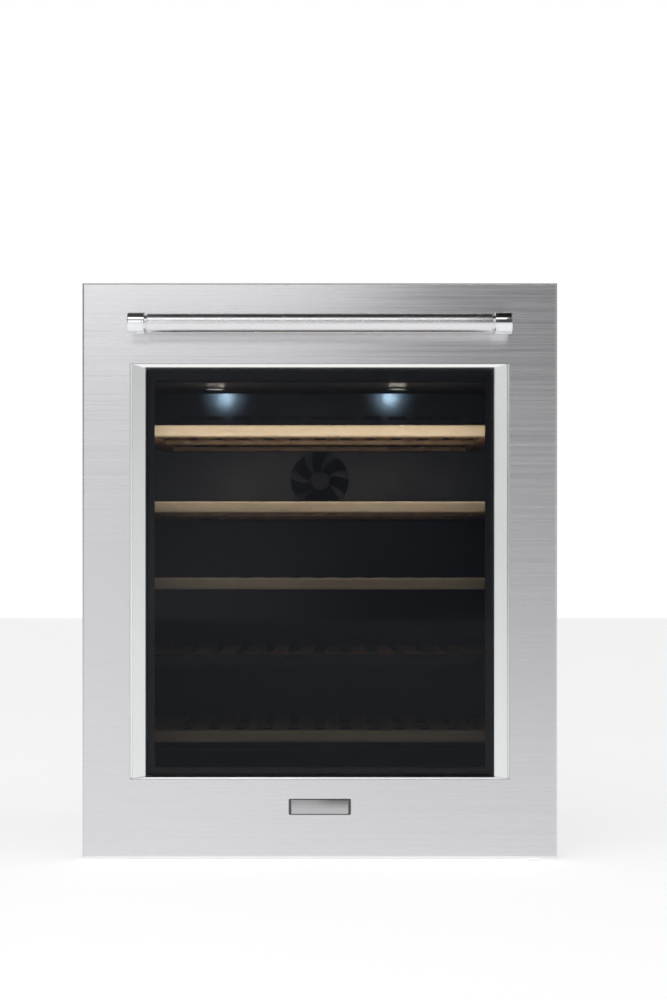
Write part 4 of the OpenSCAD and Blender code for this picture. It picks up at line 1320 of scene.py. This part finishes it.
    def beads(self) -> None:
        """Presses stiffening beads into the back sheet."""
        low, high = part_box("back_panel")
        z0, z1 = low.z + 60 * MM, high.z - 45 * MM
        foot = high.y - 0.1 * MM
        angles = [math.pi * i / 8 for i in range(9)]
        bm = bmesh.new()
        for x in (-self.bead_pitch, 0.0, self.bead_pitch):
            loops = []
            for z, share in ((z0, 0.05), (z0 + 3 * MM, 0.6), (z0 + 10 * MM, 1), (z1 - 10 * MM, 1),
                             (z1 - 3 * MM, 0.6), (z1, 0.05)):
                half, rise = share * self.bead_half, share * self.bead_rise
                loops.append([(x + half * math.cos(a), foot + rise * math.sin(a), z) for a in angles])
            add_loft(bm, loops, False)
        fit(piece_from("back_beads", bm), ZINC, CABINET)


# ---------- the inside ----------


@dataclass
class CeilingUnit:
    """The unit under the ceiling: housing, lamps, display and push buttons."""

    bezel: float = 1.1 * MM
    lens_rings: int = 10
    button_radius: float = 6 * MM

    def build(self) -> None:
        """Makes the housing, the lamps and the controls."""
        fit(softened("ceiling_unit", "unit_housing", 0.6 * MM), UNIT_PLASTIC, CABINET,
            ["ceiling_unit"])
        self.lamps()
        self.display()
        for name in ("power", "light", "up", "down"):
            self.button(name)

    def lamps(self) -> None:
        """Makes two ribbed lenses and the rings that hold them."""
        low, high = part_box("lamp_lenses")
        radius, height = (high.y - low.y) / 2, high.z - low.z
        lens = [(0.0, 0.15 * MM)]
        for i in range(1, self.lens_rings + 1):
            r = (radius - 1.5 * MM) * i / self.lens_rings
            lens += [(r - 0.35 * MM, 0.0), (r, 0.35 * MM if i < self.lens_rings else 0.0)]
        lens += [(radius, 1.5 * MM), (radius, height), (0, height)]
        inside, lip, outside = radius - 1.4 * MM, radius + self.bezel, radius + self.bezel + 0.5 * MM
        front, back = -0.2 * MM, 1.5 * MM
        rim = [(inside, front), (lip, front), (outside, 0.4 * MM), (outside, back), (inside, back),
               (inside, front)]
        discs, collars = bmesh.new(), bmesh.new()
        y = (low.y + high.y) / 2
        for x in (low.x + radius, high.x - radius):
            add_turned(discs, lens, (x, y, low.z), Along.Z, 48)
            add_turned(collars, rim, (x, y, low.z), Along.Z, 48)
        bmesh.ops.remove_doubles(collars, verts=collars.verts, dist=WELD)
        fit(piece_from("lens_pair", discs), LENS, CABINET, ["lamp_lenses"])
        fit(piece_from("lens_collars", collars), BLACK_PLASTIC, CABINET)

    def display(self) -> None:
        """Makes the display window in a thin frame."""
        fit(softened("display_window", "display_pane", 0.3 * MM), DISPLAY, CABINET,
            ["display_window"])
        low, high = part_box("display_window")
        z = (low.z + high.z) / 2
        width, height = high.x - low.x, high.z - low.z
        outer = rounded_outline(width + 4 * MM, height + 4 * MM, 2 * MM)
        inner = rounded_outline(width - 1 * MM, height - 1 * MM, 1 * MM)
        front = low.y - 0.8 * MM
        loops = [[(x, low.y, z + h) for x, h in outer], [(x, front, z + h) for x, h in outer],
                 [(x, front, z + h) for x, h in inner], [(x, low.y, z + h) for x, h in inner]]
        bm = bmesh.new()
        add_loft(bm, loops, True)
        fit(piece_from("display_frame", bm), BLACK_PLASTIC, CABINET)

    def button(self, name: str) -> None:
        """Makes one push button with a dished face and a soft rim.

        Args:
            name: What the button does.
        """
        node = f"button_{name}"
        low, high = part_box(node)
        x, z = (low.x + high.x) / 2, (low.z + high.z) / 2
        radius, flange = self.button_radius, (high.x - low.x) / 2
        depth = high.y - low.y
        step = depth - 1.5 * MM
        dish = [(0, 0.35 * MM), (2 * MM, 0.3 * MM), (4 * MM, 0.12 * MM)]
        rim = [(radius - 1 * MM, 0), (radius - 0.3 * MM, 0.25 * MM), (radius, 0.9 * MM)]
        back = [(radius, step), (flange, step), (flange, depth), (0, depth)]
        bm = bmesh.new()
        add_turned(bm, dish + rim + back, (x, low.y, z), Along.Y, 40)
        fit(piece_from(f"{name}_cap", bm), BUTTON, f"{name}_button", [node])


@dataclass
class Shelf:
    """One sliding shelf: a front strip, a slatted deck and two ball runners."""

    number: int
    slats: int = 12
    slat_width: float = 20 * MM
    slat_thick: float = 9 * MM
    bar: float = 18 * MM
    bar_gap: float = 0.1 * MM
    ball_radius: float = 1.9 * MM
    ball_pitch: float = 14 * MM
    ball_inset: float = 2.6 * MM

    def build(self) -> None:
        """Makes the shelf's pieces."""
        i = self.number
        body = f"shelf_{i}"
        finish, slot = (BLACK_FRONT, "black_front") if i == BLACK_SHELF else (FRONT_OAK, "oak")
        fit(softened(f"shelf_front_{i}", f"front_strip_{i}", 0.9 * MM, 3), finish, body,
            [f"shelf_front_{i}"])
        self.deck(body)
        fit(softened(f"shelf_runners_{i}", f"runner_pair_{i}", 0.3 * MM), BRIGHT_STEEL, body,
            [f"shelf_runners_{i}"])
        self.balls(body)

    def deck(self, body: str) -> None:
        """Makes the row of slats and the frame under them.

        Args:
            body: The shelf's body.
        """
        i = self.number
        low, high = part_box(f"shelf_slats_{i}")
        inner = high.x - self.bar
        pitch = 2 * inner / self.slats
        made = BLOCKS.run(f"slat_row_{i}", SLAT_OAK, bevel=1.2 * MM, Count=self.slats,
                          First=(-inner + pitch / 2, (low.y + high.y) / 2, high.z - self.slat_thick / 2),
                          Step=(pitch, 0, 0), Size=(self.slat_width, high.y - low.y, self.slat_thick))
        fit(made, SLAT_OAK, body, [f"shelf_slats_{i}"])
        bm = bmesh.new()
        for x0, x1 in ((low.x, -inner), (inner, high.x)):
            add_block(bm, (x0, low.y, low.z), (x1, high.y, high.z), 1.2 * MM)
        middle = (low.y + high.y) / 2 - self.bar / 2
        under = high.z - self.slat_thick
        for y in (low.y, middle, high.y - self.bar):
            add_block(bm, (-inner, y + self.bar_gap, low.z), (inner, y + self.bar - self.bar_gap, under),
                      0.8 * MM)
        fit(piece_from(f"deck_frame_{i}", bm), SLAT_OAK, body)

    def balls(self, body: str) -> None:
        """Sets bearing balls in the groove of each runner.

        Args:
            body: The shelf's body.
        """
        low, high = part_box(f"shelf_runners_{self.number}")
        z = (low.z + high.z) / 2
        shape = bmesh.new()
        bmesh.ops.create_icosphere(shape, subdivisions=2, radius=self.ball_radius)
        count = int((high.y - low.y) / self.ball_pitch)
        x = high.x - self.ball_inset
        places = [((side * x, low.y + (k + 0.5) * self.ball_pitch, z), (0.0, 0.0, 0.0))
                  for side in (-1, 1) for k in range(count)]
        balls = COPIES.spread(f"bearing_balls_{self.number}", SCREW_STEEL, shape, places)
        fit(balls, SCREW_STEEL, body)


@dataclass
class CoolingSet:
    """Evaporator, condenser, fans, compressor and the pipes between them."""

    fin: float = 0.35 * MM
    fin_pitch: float = 3.2 * MM
    column_pitch: float = 35 * MM
    coil_bend: float = 11 * MM
    pipe_radius: float = 3 * MM
    pipe_bend: float = 9 * MM
    hub_radius: float = 15 * MM
    hub_bore: float = 2.6 * MM
    hub_cup: float = 12 * MM
    blades: int = 7
    blade_steps: int = 7

    def build(self) -> None:
        """Makes and dresses the cooling set."""
        fit(softened("air_duct_cover", "duct_cover", 0.5 * MM), DUCT_PLASTIC, CABINET,
            ["air_duct_cover"])
        fit(softened("evaporation_tray", "drip_tray", 0.5 * MM), BLACK_PLASTIC, CABINET,
            ["evaporation_tray"])
        fit(softened("compressor_mounts", "rubber_mounts", 0.6 * MM), BLACK_RUBBER, CABINET,
            ["compressor_mounts"])
        self.coil("evaporator", 3.5 * MM, 4, 1, 2 * MM)
        self.coil("condenser", 4 * MM, 3, 3, 0.0)
        self.compressor()
        self.pipes()
        for name, axis in (("evaporator", Along.Y), ("condenser", Along.X)):
            fit(softened(f"{name}_fan_frame", f"{name}_fan_housing", 0.5 * MM), BLACK_PLASTIC, CABINET,
                [f"{name}_fan_frame"])
            self.rotor(name, axis)

    def coil(self, node: str, radius: float, rows: int, columns: int, inset: float) -> None:
        """Makes a fin block with winding tubes through it.

        Args:
            node: The CAD node.
            radius: Radius of the tube.
            rows: Passes of each tube, one above the other.
            columns: Tubes, one behind the other.
            inset: How far the fins stay back from the node's front and rear.
        """
        low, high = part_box(node)
        turn = radius + 1 * MM
        x0, x1 = low.x + turn + radius, high.x - turn - radius
        count = int((x1 - x0) / self.fin_pitch)
        y, z = (low.y + high.y) / 2, (low.z + high.z) / 2
        depth, height = high.y - low.y - 2 * inset, high.z - low.z
        made = BLOCKS.run(f"{node}_fins", FIN_METAL, Count=count, First=(x0, y, z),
                          Step=((x1 - x0) / (count - 1), 0, 0), Size=(self.fin, depth, height - 2 * MM))
        fit(made, FIN_METAL, CABINET, [node], crease=None)
        ends = (low.x + radius, high.x - radius)
        paths = []
        for column in range(columns):
            tube_y = y + (column - (columns - 1) / 2) * self.column_pitch
            path = []
            for row in range(rows):
                tube_z = low.z + height * (row + 0.5) / rows
                path += [(x, tube_y, tube_z) for x in (ends if row % 2 == 0 else ends[::-1])]
            paths.append(path)
        tube = TUBES.along(f"{node}_tube", COPPER_TUBE, paths, radius, self.coil_bend)
        fit(tube, COPPER_TUBE, CABINET, crease=40.0)

    def compressor(self) -> None:
        """Makes the compressor's pot and its terminal box."""
        made = softened("compressor", "compressor_pot", 1.5 * MM, 3, 18.0)
        fit(made, POT_PAINT, CABINET, ["compressor"])
        low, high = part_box("compressor")
        x, y = (low.x + high.x) / 2, (low.y + high.y) / 2
        half = 22 * MM
        bm = bmesh.new()
        add_block(bm, (x - half, low.y + 2 * MM, low.z + 46 * MM), (x + half, y - 55 * MM, low.z + 92 * MM),
                  3 * MM, 3)
        fit(piece_from("terminal_box", bm), BLACK_PLASTIC, CABINET)

    def pipes(self) -> None:
        """Bends the copper pipes, and adds the drier on the pressure side."""
        pot_low, pot_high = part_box("compressor")
        radius = self.pipe_radius
        x_mid, y_mid = (pot_low.x + pot_high.x) / 2, (pot_low.y + pot_high.y) / 2
        x_out = x_mid + 76 * MM
        x_clear = x_out + 12 * MM
        x_in = 150 * MM
        x_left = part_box("refrigerant_pipes")[0].x + radius
        x_coil = -60 * MM
        y_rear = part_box("air_duct_cover")[1].y + 12 * MM
        z_out, z_back = pot_low.z + 40 * MM, pot_low.z + 60 * MM
        z_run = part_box("rear_cover")[1].z - 22 * MM
        z_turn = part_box("evaporator")[0].z - 20 * MM
        pressure = [(x_out, y_mid, z_out), (x_clear, y_mid, z_out), (x_clear, y_mid, z_run),
                    (x_in, y_mid, z_run), (x_in, y_mid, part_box("condenser")[1].z - 4 * MM)]
        suction = [(x_left + 6 * MM, y_mid, z_back), (x_left, y_mid, z_back),
                   (x_left, y_rear, z_run + 10 * MM), (x_left, y_rear, z_turn),
                   (x_coil, y_rear, z_turn), (x_coil, y_rear, z_turn + 24 * MM)]
        made = TUBES.along("copper_pipes", COPPER_TUBE, [pressure, suction], radius, self.pipe_bend, 18)
        fit(made, COPPER_TUBE, CABINET, ["refrigerant_pipes"], crease=40.0)
        wide, taper, length = 8 * MM, 9 * MM, 61 * MM
        drier = [(0, 0), (radius, 0), (wide, taper), (wide, length - taper), (radius, length), (0, length)]
        bm = bmesh.new()
        add_turned(bm, drier, (70 * MM, y_mid, z_run), Along.X, 32)
        fit(piece_from("drier", bm), COPPER_TUBE, CABINET)

    def rotor(self, name: str, axis: Along) -> None:
        """Makes a fan rotor: a cupped hub and its swept blades.

        Args:
            name: Which fan it is.
            axis: The axis that it turns on.
        """
        node = f"{name}_fan_rotor"
        low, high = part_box(node)
        centre = (low + high) / 2
        reach = (high.z - low.z) / 2
        start = Vector(centre)
        start[axis.value] = low[axis.value]
        depth = high[axis.value] - low[axis.value]
        r, bore = self.hub_radius, self.hub_bore
        # the open end of the hub faces the fan's motor plate on the +axis side
        profile = [(0, 0), (r - 2.5 * MM, 0), (r - 0.7 * MM, 0.6 * MM), (r, 2.4 * MM), (r, depth),
                   (bore, depth), (bore, depth - self.hub_cup), (0, depth - self.hub_cup)]
        hub = bmesh.new()
        add_turned(hub, profile, start, axis, 48)
        fit(piece_from(f"{name}_fan_hub", hub), BLACK_PLASTIC, f"{name}_fan",
            [node])
        face = (-0.5, -0.2, 0.15, 0.5)
        section = [(u, 1) for u in face] + [(u, -1) for u in reversed(face)]
        limit = depth / 2 - 0.4 * MM
        loops = []
        for i in range(self.blade_steps + 1):
            t = i / self.blade_steps
            radius = r - 1 * MM + (reach - r + 0.6 * MM) * t
            sweep = 0.32 * t * t
            chord, pitch = (17 + 9 * t) * MM, math.radians(52 - 22 * t)
            loop = []
            for u, side in section:
                camber = 0.08 * chord * (1 - 4 * u * u)
                thick = side * 0.6 * MM * (1 - 1.2 * abs(u))
                along = max(-limit, min(limit, u * chord * math.sin(pitch) + camber + thick))
                a = sweep + u * chord * math.cos(pitch) / radius
                loop.append((radius * math.cos(a), radius * math.sin(a), along))
            loops.append(loop)
        blade = bmesh.new()
        add_loft(blade, loops, False)
        lay = {Along.Y: Euler((-math.pi / 2, 0, 0)), Along.X: Euler((0, math.pi / 2, 0))}[axis].to_matrix()
        places = []
        for i in range(self.blades):
            spin = lay @ Matrix.Rotation(2 * math.pi * i / self.blades, 3, "Z")
            places.append((tuple(centre), tuple(spin.to_euler())))
        fit(COPIES.spread(f"{name}_fan_blades", BLACK_PLASTIC, blade, places), BLACK_PLASTIC, f"{name}_fan",
            crease=40.0)


# ---------- stage ----------


@dataclass
class Studio:
    """A pale floor, soft light and the camera."""

    distance: float = 2.8
    frame_height: float = 1.2528
    shift_x: float = 0.0137
    shift_y: float = 0.0706
    eye_height: float = 0.364
    sensor: float = 36.0
    floor_half: float = 14.0
    warm: Colour = (1.0, 0.95, 0.86)
    cool: Colour = (0.55, 0.8, 1.0)
    # how strong the room's light is for a direction's X, Y and Z, each as (part of the direction, light)
    side_light: Stops = ((-1, 0.8), (-0.6, 1.2), (-0.14, 1.6), (0.02, 0.6), (0.12, 0.38), (0.36, 0.42),
                         (0.6, 2.0), (1, 1.0))
    depth_light: Stops = ((-1, 1.0), (-0.3, 0.6), (1, 0.35))
    height_light: Stops = ((-1, 1.0), (-0.05, 1.0), (0.0, 0.8), (0.06, 0.36), (0.12, 0.24), (0.5, 0.24),
                           (0.7, 0.5), (0.88, 0.15), (1, 0.05))

    def build(self) -> None:
        """Sets up the floor, the light and the camera."""
        self.floor()
        self.world()
        self.lights()
        self.camera()
        scene = bpy.context.scene
        scene.view_settings.view_transform = "Standard"
        scene.view_settings.look = "None"

    def floor(self) -> None:
        """Lays a large pale floor."""
        r = self.floor_half
        mesh = bpy.data.meshes.new("studio_floor")
        mesh.from_pydata([(-r, -r, 0), (r, -r, 0), (r, r, 0), (-r, r, 0)], [], [(0, 1, 2, 3)])
        floor = new_object("studio_floor", mesh)
        mesh.materials.append(material_of(PaleFloor("pale_floor", (0.9, 0.9, 0.9), 0.8)))

    def world(self) -> None:
        """Fills the room with light that changes with direction."""
        world = bpy.data.worlds.new("studio")
        bpy.context.scene.world = world
        world.use_nodes = True
        tree = world.node_tree
        tree.nodes.clear()
        out = tree.nodes.new("ShaderNodeOutputWorld")
        back = tree.nodes.new("ShaderNodeBackground")
        coordinates = tree.nodes.new("ShaderNodeTexCoord")
        split = tree.nodes.new("ShaderNodeSeparateXYZ")
        tree.links.new(coordinates.outputs["Generated"], split.inputs[0])
        room: Optional[bpy.types.NodeSocket] = None
        for axis, stops in zip(split.outputs, (self.side_light, self.depth_light, self.height_light)):
            place = tree.nodes.new("ShaderNodeMapRange")
            place.inputs["From Min"].default_value = -1.0
            tree.links.new(axis, place.inputs["Value"])
            ramp = tree.nodes.new("ShaderNodeFloatCurve")
            ramp.mapping.use_clip = False
            points = ramp.mapping.curves[0].points
            while len(points) < len(stops):
                points.new(0.5, 0.5)
            for point, (direction, light) in zip(points, stops):
                point.location = ((direction + 1) / 2, light)
            ramp.mapping.update()
            tree.links.new(place.outputs[0], ramp.inputs["Value"])
            if room is None:
                room = ramp.outputs[0]
            else:
                product = tree.nodes.new("ShaderNodeMath")
                product.operation = "MULTIPLY"
                tree.links.new(room, product.inputs[0])
                tree.links.new(ramp.outputs[0], product.inputs[1])
                room = product.outputs[0]
        path = tree.nodes.new("ShaderNodeLightPath")
        pick = tree.nodes.new("ShaderNodeMix")
        pick.data_type = "FLOAT"
        tree.links.new(path.outputs["Is Camera Ray"], pick.inputs[0])
        tree.links.new(room, pick.inputs[2])
        pick.inputs[3].default_value = 1.0
        tree.links.new(pick.outputs[0], back.inputs["Strength"])
        back.inputs["Color"].default_value = (1.0, 1.0, 1.0, 1.0)
        tree.links.new(back.outputs[0], out.inputs[0])

    def area(self, name: str, place: Triple, aim: Triple, size: tuple[float, float], watts: float,
             colour: Colour = (1, 1, 1)) -> None:
        """Adds one soft light.

        Args:
            name: Its name.
            place: Where it stands.
            aim: The point that it faces.
            size: Its width and height.
            watts: Its power.
            colour: Its colour.
        """
        data = bpy.data.lights.new(name, "AREA")
        data.shape = "RECTANGLE"
        data.size, data.size_y = size
        data.energy = watts
        data.color = colour
        lamp = bpy.data.objects.new(name, data)
        lamp.visible_camera = False
        lamp.location = place
        lamp.rotation_euler = (Vector(aim) - Vector(place)).to_track_quat("-Z", "Y").to_euler()
        bpy.context.scene.collection.objects.link(lamp)

    def lights(self) -> None:
        """Sets the studio's soft boxes and the two cabinet lamps."""
        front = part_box("door_panel")[0].y
        self.area("key_box", place=(-0.66, front - 2.2, 1.26), aim=(-0.1, front, 0.6),
                  size=(1.7, 0.45), watts=3.2)
        self.area("top_strip", place=(-0.2, front - 1.4, 2.1), aim=(0, front, 0.65),
                  size=(1.6, 0.6), watts=5)
        top_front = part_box("shelf_front_1")[0]
        gap = (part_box("glass_inner")[1].y + top_front.y) / 2
        self.area("shelf_fill", place=(0, gap - 15 * MM, top_front.z - 10 * MM),
                  aim=(0, 0.3, top_front.z - 30 * MM), size=(0.45, 0.12), watts=0.6, colour=self.warm)
        low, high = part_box("lamp_lenses")
        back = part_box("air_duct_cover")[0].y
        radius = (high.y - low.y) / 2
        y = (low.y + high.y) / 2
        for number, x in enumerate((low.x + radius, high.x - radius)):
            self.area(f"lamp_wash_{number}", place=(x, y, low.z - 1 * MM), aim=(x, y - 60 * MM, low.z - 0.3),
                      size=(0.02, 0.02), watts=0.1, colour=(1.0, 0.93, 0.8))
            data = bpy.data.lights.new(f"lamp_beam_{number}", "SPOT")
            data.energy, data.color = 0.5, self.cool
            data.spot_size, data.spot_blend = math.radians(80), 1.0
            data.shadow_soft_size = 0.008
            beam = bpy.data.objects.new(f"lamp_beam_{number}", data)
            beam.location = (x, back - 0.05, low.z + 16 * MM)
            beam.rotation_euler = Vector((0, 1, 0)).to_track_quat("-Z", "Y").to_euler()
            bpy.context.scene.collection.objects.link(beam)

    def camera(self) -> None:
        """Sets the camera square to the door."""
        data = bpy.data.cameras.new("eye")
        data.sensor_width = self.sensor
        data.lens = self.sensor * self.distance / self.frame_height
        data.shift_x, data.shift_y = self.shift_x, self.shift_y
        data.clip_start, data.clip_end = 0.05, 60.0
        eye = bpy.data.objects.new("eye", data)
        eye.location = (0.0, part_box("door_panel")[0].y - self.distance, self.eye_height)
        eye.rotation_euler = (math.pi / 2, 0.0, 0.0)
        bpy.context.scene.collection.objects.link(eye)
        bpy.context.scene.camera = eye


def main() -> None:
    """Builds the cooler's pieces in order."""
    logging.basicConfig(level=logging.INFO, format="%(name)s: %(message)s")
    Studio().build()
    Door().build()
    Cabinet().build()
    CeilingUnit().build()
    for number in SHELVES:
        Shelf(number).build()
    CoolingSet().build()


if __name__ == "__main__":
    main()
